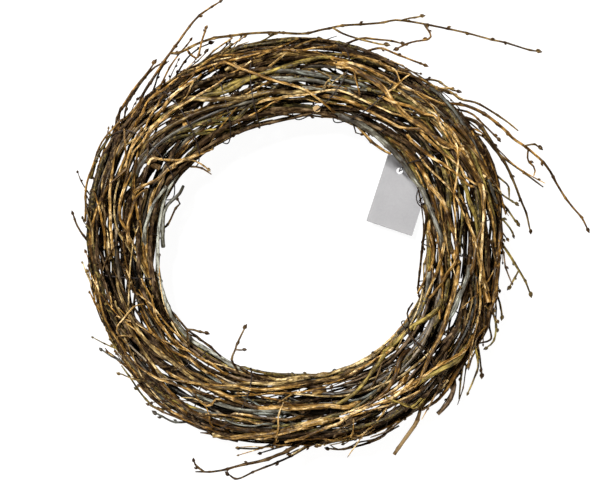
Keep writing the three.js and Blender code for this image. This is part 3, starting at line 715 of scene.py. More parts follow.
def makeBark(name, bark):
    tree = NodeTree(name)
    grain = tree.attribute("grain")
    # The tone in shade already holds the painted shade and light of the bundle
    shade = tree.add("SeparateXYZ", {}, {"Vector": tree.attribute("shade")})
    tone, knot, cut = shade.outputs
    streaks, patches, scales = [tree.noise(grain, *barkPattern[key])
                                for key in ("streaks", "patches", "scales")]
    tone = tree.shift(tone, patches, *barkPattern["patchTone"])
    tone = tree.shift(tone, streaks, *barkPattern["streakTone"], clamp=True)
    stops = barkPattern["stops"]
    colour = tree.mix(tree.attribute("pick", "Fac"), tree.ramp(tone, stops, bark["colours"]),
                      tree.ramp(tone, stops, bark["others"]))
    flecks = tree.remap(scales, barkPattern["fleckEdge"], (0, bark["fleckAmount"]))
    colour = tree.mix(flecks, colour, (*bark["flecks"], 1))
    knotShare = tree.math("MULTIPLY", knot, barkPattern["knotStrength"])
    colour = tree.mix(knotShare, colour, (*barkPattern["knot"], 1))
    colour = tree.mix(cut, colour, tree.ramp(streaks, barkPattern["edge"], barkPattern["cutWood"]))
    height = tree.math("ADD", tree.math("MULTIPLY", streaks, barkPattern["streakHeight"]),
                       tree.math("MULTIPLY", scales, barkPattern["scaleHeight"]))
    return tree.finish({
        "Base Color": colour,
        "Specular IOR Level": bark["gloss"], "Specular Tint": (*bark["tint"], 1),
        "Roughness": tree.remap(streaks, barkPattern["edge"], bark["rough"]),
        "Normal": tree.bump(*barkPattern["bump"], height),
    })


def makeWireFinish(name):
    tree = NodeTree(name)
    spots = tree.noise(tree.attribute("grain"), *wireMetal["spots"])
    levels = [(level, level, level) for level in wireMetal["rough"]]
    return tree.finish({
        "Base Color": tree.ramp(spots, wireMetal["spotEdge"], wireMetal["colours"]),
        "Metallic": wireMetal["metallic"], "Specular IOR Level": wireMetal["gloss"],
        "Roughness": tree.ramp(spots, wireMetal["roughEdge"], levels),
    })


def makeCardFinish(name):
    tree = NodeTree(name)
    coords = tree.add("TexCoord", {}, {}).outputs["Object"]
    fibres = tree.noise(coords, *cardStock["fibres"])
    clouds = tree.noise(coords, *cardStock["clouds"])
    both = tree.math("ADD", tree.math("MULTIPLY", fibres, cardStock["fibreShare"]),
                     tree.math("MULTIPLY", clouds, cardStock["cloudShare"]))
    return tree.finish({
        "Base Color": tree.ramp(both, cardStock["edge"], cardStock["colours"]),
        "Roughness": cardStock["rough"], "Normal": tree.bump(*cardStock["bump"], fibres),
    })


finishes = {name: makeBark("wreath_" + name, bark) for name, bark in barks.items()}
finishes["wire"] = makeWireFinish("dark_wire")
finishes["card"] = makeCardFinish("white_card")
print("materials made")

# The grown branches, each in place of its solid
branchTone = {
    "base": (0.24, 0.6), "shoot": 0.12, "spread": 0.25, "sprigSpread": 0.12,
    "sprigs": {"golden_bark": 0.4, "dark_bark": 0.66, "olive_bark": 0.55, "grey_bark": 0.45},
}


def buildBranch(bm, branch, base):
    for twig in branch["twigs"]:
        seed = twig["seed"]
        if twig["kind"] in ("sprig", "cutSprig"):
            tone = branchTone["sprigs"][branch["bark"]]
            tone += branchTone["sprigSpread"] * (draw(seed, 5, 31) - 0.5)
            tone -= sprigShades.get(seed - sprigShape["seed"], 0)
        else:
            tone = base + (branchTone["shoot"] if twig["kind"] == "shoot" else 0)
            tone += branchTone["spread"] * (draw(seed, 4, 31) - 0.5)
        growTwig(bm, twig["kind"], twig["points"], twig["radii"], seed, tone)


branches = makeBranches()
for number, branch in enumerate(branches):
    base = between(branchTone["base"], draw(number, 3, 31))
    makePiece("twigs_of_" + branch["name"], branch["bark"], [branch["name"]], buildBranch, branch,
              base)
print("branches grown:", len(branches))

# Twigs that lie on the front: radius in mm, tone, places as angle and distance from the ring's
# centre in picture points, and how far they lie over the others. Pale ones are of golden bark.
pictureScale = 0.488
frontTwigs = {"golden_bark": [
    (0.7, 0.6, [(61, 207), (68, 211), (76, 211), (83, 213)], 0.5),
    (0.9, 0.7, [(57, 189), (66, 191), (75, 194), (84, 198), (92, 200)], 1.2),
    (0.7, 0.65, [(203, 204), (212, 208), (220, 211), (227, 212)], 0.5),
    (0.8, 0.75, [(52.2, 153), (58.5, 157), (64.2, 165), (68.2, 172), (73.8, 183)], 1.6),
    (0.7, 0.7, [(53.2, 164), (59.5, 169), (65.7, 178), (69.7, 179), (73.2, 187)], 1.6),
    (0.5, 0.8, [(61.7, 150), (66.3, 154), (73.6, 163), (81.1, 168), (90, 178), (96.2, 184),
        (104.9, 195)], 2.1),
    (0.5, 0.85, [(60.8, 184), (67, 174), (75.8, 163), (84.2, 159), (90, 158)], 2.5),
    (1.3, 0.4, [(62.3, 185), (66.7, 187), (73.6, 191), (79.6, 189), (85.1, 186), (90, 180),
        (99.1, 177)], 1.6),
    (1.3, 0.6, [(68.3, 146), (75.5, 152), (83.3, 155), (90, 159), (95, 161)], 1.2),
    (0.6, 0.85, [(75, 193), (83.9, 188), (93.1, 185), (102.3, 188), (108.2, 193), (114.4, 199),
        (118.8, 203), (126.5, 215)], 2.2),
    (0.55, 0.75, [(84.7, 173), (92.5, 182), (99.8, 189), (104.6, 198)], 1.6),
    (1.4, 0.45, [(88.3, 206), (92.2, 204), (98, 202), (103.1, 203)], 0.8),
    (0.9, 0.6, [(86.6, 136), (96.6, 139), (107.1, 136), (113.5, 135)], 1),
    (0.8, 0.65, [(91.5, 148), (101.2, 145), (107.9, 143), (114, 142)], 1.2),
    (1, 0.6, [(97.1, 161), (101.9, 155), (107, 151), (113.4, 146)], 1.2),
    (1.4, 0.6, [(56.1, 197), (62.9, 198), (71.2, 202)], 1),
    (1.5, 0.5, [(98.4, 204), (105.1, 207), (111.4, 208), (114.6, 211)], 0.8),
    (0.6, 0.7, [(114.1, 210), (119.6, 202), (122.2, 199)], 1.6),
    (0.75, 0.8, [(122.6, 201), (127.5, 194), (132, 188), (137.2, 185), (143.5, 182), (147.6, 179)],
        2.2),
    (1.3, 0.55, [(102.6, 165), (109.7, 166), (116.9, 168), (121.1, 170), (128.5, 174), (134.5, 180),
        (139.8, 186)], 1.2),
    (1.2, 0.55, [(127.2, 208), (132.3, 211), (138, 215)], 0.6),
    (0.9, 0.85, [(144.4, 182), (146.2, 182), (151.6, 181), (155, 180), (160.2, 180), (165.4, 183)],
        2),
    (0.6, 0.75, [(144.4, 177), (147.2, 177), (151.5, 176), (156.2, 176), (161.6, 177),
        (164.8, 179)], 1.6),
    (0.6, 0.7, [(141.5, 186), (144.8, 184), (148.6, 184), (155.1, 181)], 1.6),
    (1.3, 0.4, [(138.3, 158), (142.6, 166), (146.9, 172), (151.2, 175), (156.3, 177)], 1.2),
    (0.8, 0.75, [(163.8, 182), (165.6, 185), (170.5, 188), (175.2, 192), (178.2, 196),
        (182.6, 201)], 1.6),
    (1.35, 0.75, [(162.7, 172), (167.5, 166), (172.7, 165), (179.7, 165), (184.8, 166)], 1.2),
    (1.25, 0.55, [(183.8, 165), (190, 168), (195.2, 168), (198.9, 167), (203.6, 167), (208.1, 168),
        (211.5, 170)], 1),
    (1.8, 0.7, [(171.1, 181), (174.9, 182), (179.7, 186), (185.7, 192), (191.4, 198), (196.8, 205),
        (200.1, 210)], 0.8),
    (0.6, 0.8, [(178.2, 187), (185.6, 195), (191.2, 201)], 2.4),
    (0.55, 0.85, [(139.5, 145), (144.1, 143), (150.2, 143), (156.1, 143), (161.6, 145),
        (167.8, 146)], 1.6),
    (0.45, 0.85, [(185.6, 204), (185.2, 199), (184.9, 186), (184.7, 173), (183.9, 160)], 2.6),
    (0.4, 0.8, [(163.8, 204), (162.6, 197), (161.6, 187)], 2.2),
    (0.4, 0.7, [(161.8, 205), (163.9, 202), (166.9, 203), (171.1, 200)], 2),
    (0.5, 0.6, [(150.8, 211), (154.5, 212), (158.9, 211)], 1),
    (0.7, 0.6, [(180.3, 175), (184.5, 177), (190.4, 178), (195.9, 179), (199.9, 182)], 1.6),
    (0.5, 0.65, [(191.2, 185), (195.5, 184), (200.2, 185), (204.7, 189), (207.6, 192)], 1.6),
    (0.25, 0.8, [(189.1, 209), (192.1, 211), (195.4, 215)], 0.5),
    (0.8, 0.75, [(177.6, 144), (187.3, 149), (192.9, 152), (200.4, 155), (205.6, 160), (212.3, 167),
        (216.8, 174), (220.2, 177), (223.6, 180)], 1.6),
    (0.5, 0.6, [(215.1, 172), (219.4, 180), (224.6, 191)], 1.6),
    (0.8, 0.45, [(213.6, 201), (216.3, 201), (219.8, 202)], 1.2),
    (0.5, 0.7, [(206.1, 173), (206.8, 182), (208.5, 184), (210.9, 183), (213.5, 178)], 2.4),
    (0.4, 0.65, [(203.8, 201), (205.8, 191), (208.5, 184)], 2.2),
    (0.6, 0.8, [(236.2, 200), (239.3, 200), (243.1, 201), (247.2, 202), (251.1, 201), (255.5, 199),
        (259.9, 199)], 1.6),
    (0.6, 0.65, [(231.2, 156), (237, 156), (241.1, 155), (244.9, 153), (250.1, 153), (255.8, 155)],
        1.6),
    (0.45, 0.7, [(230.2, 148), (235.9, 150), (241.8, 152), (246.1, 155), (251.3, 163)], 1.6),
    (0.4, 0.85, [(243.4, 195), (244.7, 187), (246.3, 177), (247.4, 169), (246.8, 160)], 2.6),
    (0.35, 0.7, [(241.1, 199), (239.7, 186)], 2.2),
    (0.6, 0.65, [(214.8, 156), (221.4, 157), (227.3, 162), (232.2, 163), (237.1, 166), (241.3, 166),
        (245.1, 166)], 1.6),
    (0.6, 0.65, [(209, 149), (213.4, 147), (217.6, 149), (223.4, 151), (230, 155)], 1.6),
    (0.6, 0.65, [(215.5, 179), (218.6, 183), (223.1, 189), (227.9, 194), (232, 198), (236, 200)],
        1.6),
    (0.8, 0.75, [(272.8, 163), (275.1, 168), (278.3, 173), (283.2, 175), (287.6, 175),
        (292.2, 172)], 1.6),
    (1, 0.65, [(272.8, 164), (276.3, 164), (280.7, 162), (285.3, 160), (288.9, 154)], 1.2),
    (0.9, 0.6, [(271.4, 201), (274.3, 200), (278.7, 198), (281.8, 195), (285.2, 191), (289, 184),
        (293.1, 178)], 1.6),
    (0.6, 0.7, [(272.4, 187), (275.4, 190), (279.7, 196), (282.4, 201), (284, 207)], 2.2),
    (0.75, 0.75, [(270, 179), (274.8, 181), (279.4, 183), (285.4, 188), (289.9, 191), (292.8, 193),
        (297.1, 198)], 2),
    (0.7, 0.8, [(294.6, 180), (297.8, 182), (302.7, 185), (306.4, 185)], 1.6),
    (0.5, 0.7, [(288.3, 175), (293.2, 177), (298.3, 179), (302.5, 177), (307.6, 175)], 2),
    (0.55, 0.75, [(293.9, 185), (297.1, 186), (299.6, 192), (303.2, 201)], 2),
    (0.8, 0.7, [(287.1, 163), (290.9, 154), (294.1, 147), (299.4, 142), (304, 138), (310.6, 130),
        (317, 123)], 1.6),
    (0.55, 0.85, [(299.6, 160), (301.2, 151), (303.9, 140), (307.2, 131), (309, 121), (309.5, 110)],
        2.2),
    (0.5, 0.8, [(303.9, 140), (308.3, 132), (312.5, 127), (318.3, 122)], 2),
    (0.6, 0.55, [(280.1, 211), (285.1, 214), (289.4, 214), (296.9, 216), (305, 211)], 1),
    (0.65, 0.75, [(308.9, 194), (314, 200), (319.3, 198), (324.1, 198), (327.6, 194), (330.9, 193),
        (335.6, 191), (340.2, 189), (343.2, 187), (347.9, 186), (352.6, 187), (357.2, 187),
        (361.8, 186)], 1.6),
    (0.8, 0.75, [(315.2, 183), (319.8, 185), (324, 185), (327.9, 186), (331, 188)], 1.6),
    (0.35, 0.8, [(323.8, 176), (326, 181), (328.2, 186)], 2.2),
    (0.55, 0.9, [(304.4, 177), (308.9, 179), (312.5, 175), (316.9, 174), (322.4, 170), (326.5, 170),
        (332.5, 171), (338.4, 174), (342.2, 176), (346.6, 181)], 2.3),
    (0.5, 0.8, [(299.5, 183), (305.7, 183), (310.9, 188), (314.8, 189), (317.9, 193)], 1.6),
    (0.5, 0.75, [(305.3, 176), (309.9, 175), (315.5, 174), (320.7, 172)], 1.6),
    (0.5, 0.7, [(332.8, 195), (336.3, 197), (339.2, 195), (343.6, 191), (346.7, 191), (351.2, 190),
        (354.2, 189)], 1.4),
    (0.55, 0.8, [(357.2, 187), (361.8, 186), (367.2, 191), (372, 197)], 1.8),
    (0.45, 0.8, [(350, 185), (355.2, 190), (358.8, 195), (361.7, 200)], 2.2),
    (0.85, 0.7, [(338.4, 187), (343, 175), (348.8, 164), (353.1, 157), (358.5, 152), (364.3, 147),
        (369.9, 140), (377.9, 133)], 2.6),
    (0.6, 0.85, [(348, 140), (354.2, 140), (360.4, 142), (366.3, 145), (370.9, 149), (374.9, 152),
        (380.1, 154), (386.6, 154), (392.5, 156), (398.4, 159), (403.5, 166)], 1.6),
    (0.45, 0.75, [(1.8, 186), (7.5, 185), (10.8, 182), (13.3, 179)], 1.6),
    (0.7, 0.75, [(11.3, 184), (16.8, 183), (22.2, 183), (28.3, 182), (33.9, 184), (39, 189),
        (44.2, 195), (47.8, 201)], 1.6),
    (0.7, 0.75, [(19.5, 192), (25.4, 194), (29.6, 194), (34.1, 198), (39.2, 204), (43.5, 209),
        (46.3, 220)], 1.6),
    (0.45, 0.8, [(32.5, 174), (33.9, 190), (35.3, 201)], 2.6),
    (0.85, 0.7, [(35.4, 166), (41.7, 174), (46.4, 178), (48.5, 184), (54.8, 182), (59.5, 181),
        (63, 183)], 2),
    (1.6, 0.6, [(15, 178), (19.2, 177), (26.7, 174), (30.7, 172), (35, 167), (42.3, 165),
        (46.9, 168), (52.9, 171), (58.7, 179), (62.3, 187)], 1.2),
    (1, 0.55, [(14.2, 146), (21, 148), (26.5, 148), (32, 147), (37.6, 149), (43.9, 153),
        (48.7, 164), (53.1, 170)], 1.2),
    (0.5, 0.75, [(50.1, 168), (57, 171), (59.5, 178), (61, 190)], 2),
    (0.35, 0.95, [(30.5, 195), (35.2, 187), (45.6, 190), (50.2, 187), (57.3, 185), (59.7, 184)],
        2.4),
    (0.5, 0.7, [(16.9, 176), (19, 178), (21.2, 168), (24.1, 157)], 2),
    (0.95, 0.6, [(24.6, 131), (31, 129), (38.5, 126), (46, 127), (48.5, 129)], 0),
], "pale_bark": [
    (1.1, 0.6, [(200.3, 156), (207, 163), (212.1, 168), (215.9, 169), (221.4, 169), (226.7, 170),
        (230.6, 173), (235.2, 175), (240.3, 177), (245, 178), (248.6, 178), (253.8, 179)], 1.4),
    (0.7, 0.6, [(224.3, 185), (230.5, 184), (235.9, 184), (240.8, 184), (246.1, 185), (251.2, 186)],
        1.2),
    (1.2, 0.65, [(144.6, 140), (150.7, 139), (155.3, 139), (160.5, 138), (167, 138), (173.2, 136),
        (179.6, 136), (185.8, 139)], 0.8),
    (1.1, 0.6, [(177.5, 138), (185.6, 143), (191.5, 146), (197.2, 149), (203.3, 157)], 0.8),
    (1.4, 0.55, [(323.8, 171), (327.2, 164), (332, 157), (342.7, 148), (350.6, 147), (358.4, 146),
        (366.2, 148)], 1.4),
    (0.6, 0.7, [(270, 199), (272.9, 199), (276.2, 205), (279.6, 211)], 1),
    (1.3, 0.45, [(303.4, 173), (311.6, 166), (319.1, 159), (325, 155), (332.6, 150), (338.5, 147)],
        1.2),
    (0.45, 0.75, [(12.7, 164), (11.6, 159), (10.9, 153)], 2.2),
    (0.4, 0.8, [(7.1, 169), (9.7, 166), (12.7, 164)], 2.2),
], "olive_bark": [
    (1.5, 0.7, [(330, 165), (345, 166), (358, 172), (365, 178)]),
    (1.4, 0.65, [(114.3, 156), (119.9, 152), (125, 146), (131.6, 144), (136.1, 144)], 1),
    (1.5, 0.85, [(126.1, 200), (130.4, 194), (134.1, 190), (137.6, 187)], 2),
    (1.3, 0.7, [(140.9, 144), (145.5, 148), (150.3, 153), (153.9, 157), (157.7, 161), (162, 165),
        (165.8, 167)], 1.2),
    (1.3, 0.75, [(328.1, 168), (334.6, 161), (342.5, 163), (348.8, 165), (355.2, 169), (362, 175),
        (367.6, 181), (371.9, 184)], 1.2),
    (0.8, 0.6, [(149.3, 198), (154.2, 198), (158.8, 196), (164.8, 195)], 1.2),
    (0.45, 0.9, [(144.9, 202), (147.7, 189), (149.6, 180)], 2.4),
    (1, 0.5, [(291.9, 214), (294.9, 214), (300.2, 211)], 0.6),
    (0.9, 0.45, [(344.1, 198), (350.1, 197), (355.9, 197), (361.7, 199)], 0.6),
    (0.45, 0.8, [(144.6, 204), (145.8, 196), (148.7, 185)], 2.4),
    (1.1, 0.7, [(52, 199), (60, 198), (69, 196), (78, 197), (86, 200)], 0.8),
], "dark_bark": [
    (1.1, 0.55, [(54, 206), (60, 210), (66, 213), (73, 212), (80, 209), (86, 207)], 0),
    (0.8, 0.6, [(57, 202), (64, 206), (70, 209), (77, 208), (84, 206)], 0.8),
    (1.2, 0.5, [(199, 205), (207, 209), (216, 211), (224, 210), (230, 207)], 0),
    (1.2, 0.5, [(-8, 131), (5, 130), (15, 130), (22, 131)]),
    (0.75, 0.4, [(192, 142), (205, 139), (220, 137), (230, 139), (240, 143)]),
    (1.7, 0.75, [(325, 180), (335, 175), (345, 172), (352, 171)]),
    (1.6, 0.5, [(315, 133), (330, 131), (345, 129), (360, 128)]),
    (1.3, 0.6, [(295, 137), (310, 130), (325, 124), (340, 121), (352, 121), (362, 124),
        (372, 130)]),
    (0.42, 0.4, [(122.9, 135), (125.5, 141), (128.9, 146), (129.9, 159), (129.9, 175), (131.7, 186),
        (134.6, 202), (136.5, 212)], 2.6),
    (0.8, 0.45, [(79.7, 134), (91.8, 128), (104.3, 130), (114.3, 136)], 0.8),
    (0.45, 0.5, [(23, 130), (26.4, 131), (30.1, 124), (32.7, 126)], 0.5),
    (0.6, 0.5, [(107.2, 209), (113.2, 213), (116.7, 220), (119.3, 209)], 1.2),
    (1.5, 0.45, [(328.4, 180), (333.7, 178), (340.1, 173)], 1.2),
    (0.45, 0.4, [(155.6, 215), (158.7, 215), (162, 213), (165.4, 215), (168.4, 214), (170, 208)],
        0.4),
    (0.35, 0.35, [(164.4, 208), (164.8, 199), (165.1, 186)], 2),
    (0.42, 0.4, [(226.2, 137), (227.9, 140), (231.6, 142), (235.4, 145), (239.9, 146), (247, 146),
        (252.8, 145)], 1.4),
    (0.9, 0.5, [(200.7, 210), (203.3, 207), (207.6, 203), (211.2, 201)], 0.8),
    (0.9, 0.4, [(347.8, 198), (353.1, 199), (358.9, 200), (367.4, 201), (371.7, 202)], 0.6),
    (0.5, 0.4, [(155.4, 146), (161.6, 145), (169.6, 143), (177.6, 145)], 1.4),
], "grey_bark": [
    (1.2, 0.6, [(-8, 168), (5, 166), (18, 165), (24, 166)]),
    (1.0, 0.6, [(46, 204), (57, 203), (68, 202), (80, 204)], 0.8),
    (1.0, 0.65, [(-8, 161), (5, 159), (20, 158), (26, 163)]),
    (1.4, 0.7, [(101, 175), (109, 172), (117, 170)]),
    (1.2, 0.85, [(187, 172), (193, 174), (200, 177), (208, 179), (215, 180)]),
    (0.7, 0.6, [(203, 187), (208, 192), (213, 198)]),
    (1.2, 0.85, [(205, 140), (211, 138.6), (225.6, 142.8), (235, 144.3), (240, 144.3),
        (257.6, 139.3), (265.8, 137.4), (279.4, 134.8), (290, 135), (296, 134)]),
    (1.1, 0.4, [(295, 167), (305, 163), (315, 155), (330, 148), (345, 143)]),
    (0.85, 0.8, [(102.5, 175), (108.9, 173), (113.9, 173), (117.2, 171)], 1.6),
    (1.2, 0.5, [(104.2, 138), (113.3, 142), (120.5, 142), (126.9, 140)], 0.8),
    (1.7, 0.44, [(22.9, 131), (28.9, 132), (37, 133), (45, 133), (53, 133), (61.5, 134),
        (68.4, 136), (75.4, 138), (81.9, 141), (90, 146)], 1.8),
    (0.9, 0.75, [(184.7, 170), (189.7, 171), (196.3, 175), (201.2, 177), (206.4, 178),
        (211.7, 179)], 1.2),
    (0.9, 0.7, [(358.6, 167), (363.8, 164), (369.2, 163), (374.5, 163)], 0.8),
    (1.2, 0.7, [(355.7, 158), (360.4, 158), (364, 158), (369.5, 158), (375.1, 157), (378.9, 157)],
        0.8),
    (0.8, 0.75, [(6.1, 151), (10.8, 150), (16, 149)], 1.4),
    (1.1, 0.6, [(271.9, 147), (277.9, 145), (284.1, 143), (291.2, 138)], 0.8),
    (1.2, 0.65, [(272.2, 132), (280.8, 133), (285.5, 131), (291.2, 124)], 0.6),
    (0.4, 0.75, [(189.1, 184), (192, 188), (196.5, 190), (201.3, 190)], 1.6),
]}
frontLayer = {
    "darker": 0.08, "reach": 0.96, "leastHeight": 0.03, "lift": 1.2, "sunkShare": 0.6,
    "dive": 5.0, "diveAngle": 5.0, "diveFrom": 1.0, "thinUpTo": 0.8, "root": 1.08, "taper": 0.35,
    "picks": 0.4, "seed": 2000,
}


def surfaceHeight(angle, radius):
    middle, halfWidth = bandAt(angle)
    level = math.sqrt(max(frontLayer["leastHeight"], 1 - ((radius - middle) / halfWidth) ** 2))
    return ring["midHeight"] + ring["halfDepth"] * frontLayer["reach"] * level


def buildFrontTwigs(bm, colour, twigs):
    diveAngle, dive = frontLayer["diveAngle"], frontLayer["dive"]
    for index, (thick, tone, places, *raised) in enumerate(twigs):
        seed = frontLayer["seed"] + index * 7 + len(colour)
        lift = frontLayer["lift"] * (draw(seed, 1, 41) - frontLayer["sunkShare"])
        if raised:
            lift = raised[0]
        points = []
        for angle, distance in places:
            radius = distance * pictureScale
            points.append(polarPoint(angle, radius, surfaceHeight(angle, radius) + lift))
        # The root, and the tip of a thick twig, go down between the others
        (angle, distance), (endAngle, endDistance) = places[0], places[-1]
        points.insert(0, polarPoint(angle - diveAngle, distance * pictureScale, points[0].z - dive))
        if thick > frontLayer["diveFrom"]:
            points.append(polarPoint(endAngle + diveAngle, endDistance * pictureScale,
                                     points[-1].z - dive))
        radii = tapering(thick, frontLayer["root"], frontLayer["taper"], len(points))
        pick = 1 if colour == "pale_bark" else frontLayer["picks"] * draw(seed, 3, 41)
        growTwig(bm, "front" if thick > frontLayer["thinUpTo"] else "thin", points, radii, seed,
                 tone - frontLayer["darker"], pick)


for colour, twigs in frontTwigs.items():
    slotName = "golden_bark" if colour == "pale_bark" else colour
    makePiece("front_twigs_" + colour.split("_")[0], slotName, [], buildFrontTwigs, colour, twigs)

# Cut stubs and knobs on the front: place in picture points from the ring's centre (right, up),
# the way it points in degrees clockwise from the top, how steeply it rises, length, radius, tone
stubs = {
    "golden_bark": [
        (184, 67, 128, 0.25, 4, 1.5, 0.75), (158, -14, 158, 0.2, 5, 1.4, 0.8),
        (190, -50, 170, 0.2, 6, 1.5, 0.8), (-64, 170, 60, 0.3, 4, 1.3, 0.7),
        (-109, 117, 150, 0.4, 3, 1.3, 0.85), (110, -135, 215, 0.2, 5, 1.4, 0.7),
        (28, -150, 262, 0.2, 5, 1.5, 0.75), (23, 131, 200, 4, 2.5, 1.8, 0.75),
        (-69, -193, 265, 0.1, 6, 1.5, 0.5),
    ],
    "dark_bark": [
        (-148, 78, 75, 0.2, 6, 1.9, 0.7), (-140, 74, 110, 0.3, 4, 1.5, 0.6),
        (150, 100, 110, 0.2, 5, 1.6, 0.6), (60, -175, 250, 0.2, 5, 1.7, 0.65),
        (-60, 165, 20, 0.3, 4, 1.4, 0.6),
    ],
}
stubShape = {"sunk": 1.5, "root": 2, "rootShare": 0.8, "seed": 5000}


def buildStubs(bm, places):
    for index, (right, up, heading, rise, length, thick, tone) in enumerate(places):
        radius = math.hypot(right, up) * pictureScale
        angle = math.degrees(math.atan2(right, up))
        base = polarPoint(angle, radius, surfaceHeight(angle, radius) - stubShape["sunk"])
        turn = math.radians(heading)
        ahead = Vector((math.sin(turn), math.cos(turn), rise)).normalized()
        root = base - ahead * stubShape["root"]
        growTwig(bm, "stub", [root, base + ahead * length * 0.5, base + ahead * length],
                 [thick * stubShape["rootShare"], thick, thick], stubShape["seed"] + index, tone)


for slotName, places in stubs.items():
    makePiece("cut_stubs_" + slotName.split("_")[0], slotName, [], buildStubs, places)

# Thinner sprigs that only the front shows: radius in mm, tone, then the angle, the distance from
# the ring's centre in picture points and the height over the ring's middle
looseSprigs = {"golden_bark": [
    (0.6, 0.45, [(312.9, 194, 5), (316, 199, 6), (320.3, 205, 7), (324.7, 211, 8), (328.4, 217, 8),
        (331.3, 221, 8), (332.9, 224, 8)]),
    (0.5, 0.6, [(57.5, 209, 4), (60.9, 216, 5), (66.9, 224, 6), (72.8, 237, 6), (77.2, 257, 6)]),
], "dark_bark": [
    (0.6, 0.4, [(321.6, 196, 4), (325.8, 203, 6), (329.5, 209, 7), (333.7, 212, 8),
        (337.3, 212, 8)]),
    (0.6, 0.35, [(314.2, 201, 3), (318.7, 208, 5), (322.7, 216, 6), (325.1, 217, 6)]),
    (0.55, 0.4, [(305.7, 209, 2), (309.3, 215, 4), (312.8, 218, 5), (315.9, 220, 5),
        (317.8, 219, 5)]),
    (0.5, 0.5, [(299.6, 210, 2), (304.1, 214, 2), (307.3, 218, 2), (308.8, 216, 2)]),
    (0.45, 0.5, [(104.2, 204, 0), (105.3, 213, 0), (107.7, 217, -1), (110, 222, -1)]),
    (0.45, 0.5, [(120, 208, 0), (120.9, 214, 0), (123.1, 223, -1), (125.9, 233, -1)]),
    (0.45, 0.5, [(124.7, 214, 0), (126.5, 215, 0), (131, 225, -1), (135.2, 234, -1)]),
    (0.4, 0.5, [(131.1, 210, 0), (131.8, 216, 0), (135.5, 221, -1), (139.3, 225, -1)]),
]}
thinSprig = {"taper": 0.3, "seed": 6000, "seedStep": 40}


def buildThinSprigs(bm, slotName, twigs):
    for index, (thick, tone, places) in enumerate(twigs):
        points = [polarPoint(a, d * pictureScale, ring["midHeight"] + h) for a, d, h in places]
        radii = tapering(thick, 1, thinSprig["taper"], len(points))
        seed = thinSprig["seed"] + thinSprig["seedStep"] * len(slotName) + index
        growTwig(bm, "sprig", points, radii, seed, tone)


for slotName, twigs in looseSprigs.items():
    makePiece("thin_sprigs_" + slotName.split("_")[0], slotName, [], buildThinSprigs, slotName,
              twigs)
print("front twigs laid")

# More twigs of the same bundle: how many, how far out, radius, length in degrees, how far they
# drift round the bundle and flare out of it, how they grow, tone, and whether side twigs leave them
looseFields = ("count", "reach", "radius", "length", "drift", "flare", "kind", "tone", "sides")
looseTwigs = {
    "inner_twigs_dark": (12, (0.15, 0.75), (0.7, 1.3), (70, 110), 0.8, 0, "front", 0.4, False),
    "surface_twigs_dark": (60, (0.8, 0.97), (0.5, 1.55), (50, 95), 0.9, 0.06, "thin", 0.45, True),
    "surface_twigs_golden": (50, (0.85, 0.97), (0.45, 1.35), (45, 90), 1, 0.07, "thin", 0.5, True),
    "surface_twigs_olive": (46, (0.82, 0.97), (0.5, 1.5), (50, 90), 0.9, 0.06, "thin", 0.46, True),
    "surface_twigs_grey": (18, (0.8, 0.95), (0.5, 1.2), (50, 90), 0.6, 0.03, "thin", 0.45, False),
    "fine_twigs_golden": (64, (0.93, 1.03), (0.28, 0.5), (25, 60), 1.3, 0.08, "fine", 0.68, True),
    "fine_twigs_dark": (36, (0.94, 1.03), (0.28, 0.5), (25, 55), 1.3, 0.08, "fine", 0.5, True),
}
# The two spacings put each twig far from the ones before it, along the ring and round the bundle
loosePath = {
    "startSpacing": 0.7549, "groupStart": 0.17, "turnSpacing": 0.5698, "groupTurn": 0.31,
    "points": 9, "rootSunk": 0.12, "wave": 0.09, "waves": 5, "wavePhase": 6, "thinning": 1.3,
    "root": 1.1, "taper": 0.5, "toneSpread": 0.45, "seed": 3000, "groupSeed": 200,
}
sideTwig = {
    "length": (5, 16), "lean": (20, 42), "radius": (0.26, 0.42), "share": 0.6, "fromHole": 4,
    "firstPoint": 3, "pointRange": 4.99, "turn": 1.2, "turnMiddle": 0.35,
    "along": (0, 0.35, 0.7, 0.9), "bend": (0, 0, 0.05, 0.12), "taper": (1, 0.9, 0.8, 0.7),
    "seed": 7000,
}


def addSideTwig(bm, points, seed, tone):
    # A short twig that leaves another one, mostly along the surface of the bundle
    index = sideTwig["firstPoint"] + int(sideTwig["pointRange"] * draw(seed, 1, 71))
    along = (points[index + 1] - points[index - 1]).normalized()
    lean = math.radians(between(sideTwig["lean"], draw(seed, 2, 71)))
    turn = math.pi if draw(seed, 3, 71) < 0.5 else 0
    turn += sideTwig["turn"] * (draw(seed, 4, 71) - sideTwig["turnMiddle"])
    length = between(sideTwig["length"], draw(seed, 5, 71))
    ahead = along * math.cos(lean) + aroundTwig(along, turn) * math.sin(lean)
    places = [points[index] + ahead * length * share + along * length * bend
              for share, bend in zip(sideTwig["along"], sideTwig["bend"])]
    angle, distance = placeOnRing(places[-1])
    if distance - edgeAt(ring["innerEdge"], angle) < sideTwig["fromHole"]:
        return
    thick = between(sideTwig["radius"], draw(seed, 6, 71))
    growTwig(bm, "side", places, [thick * share for share in sideTwig["taper"]], seed, tone)


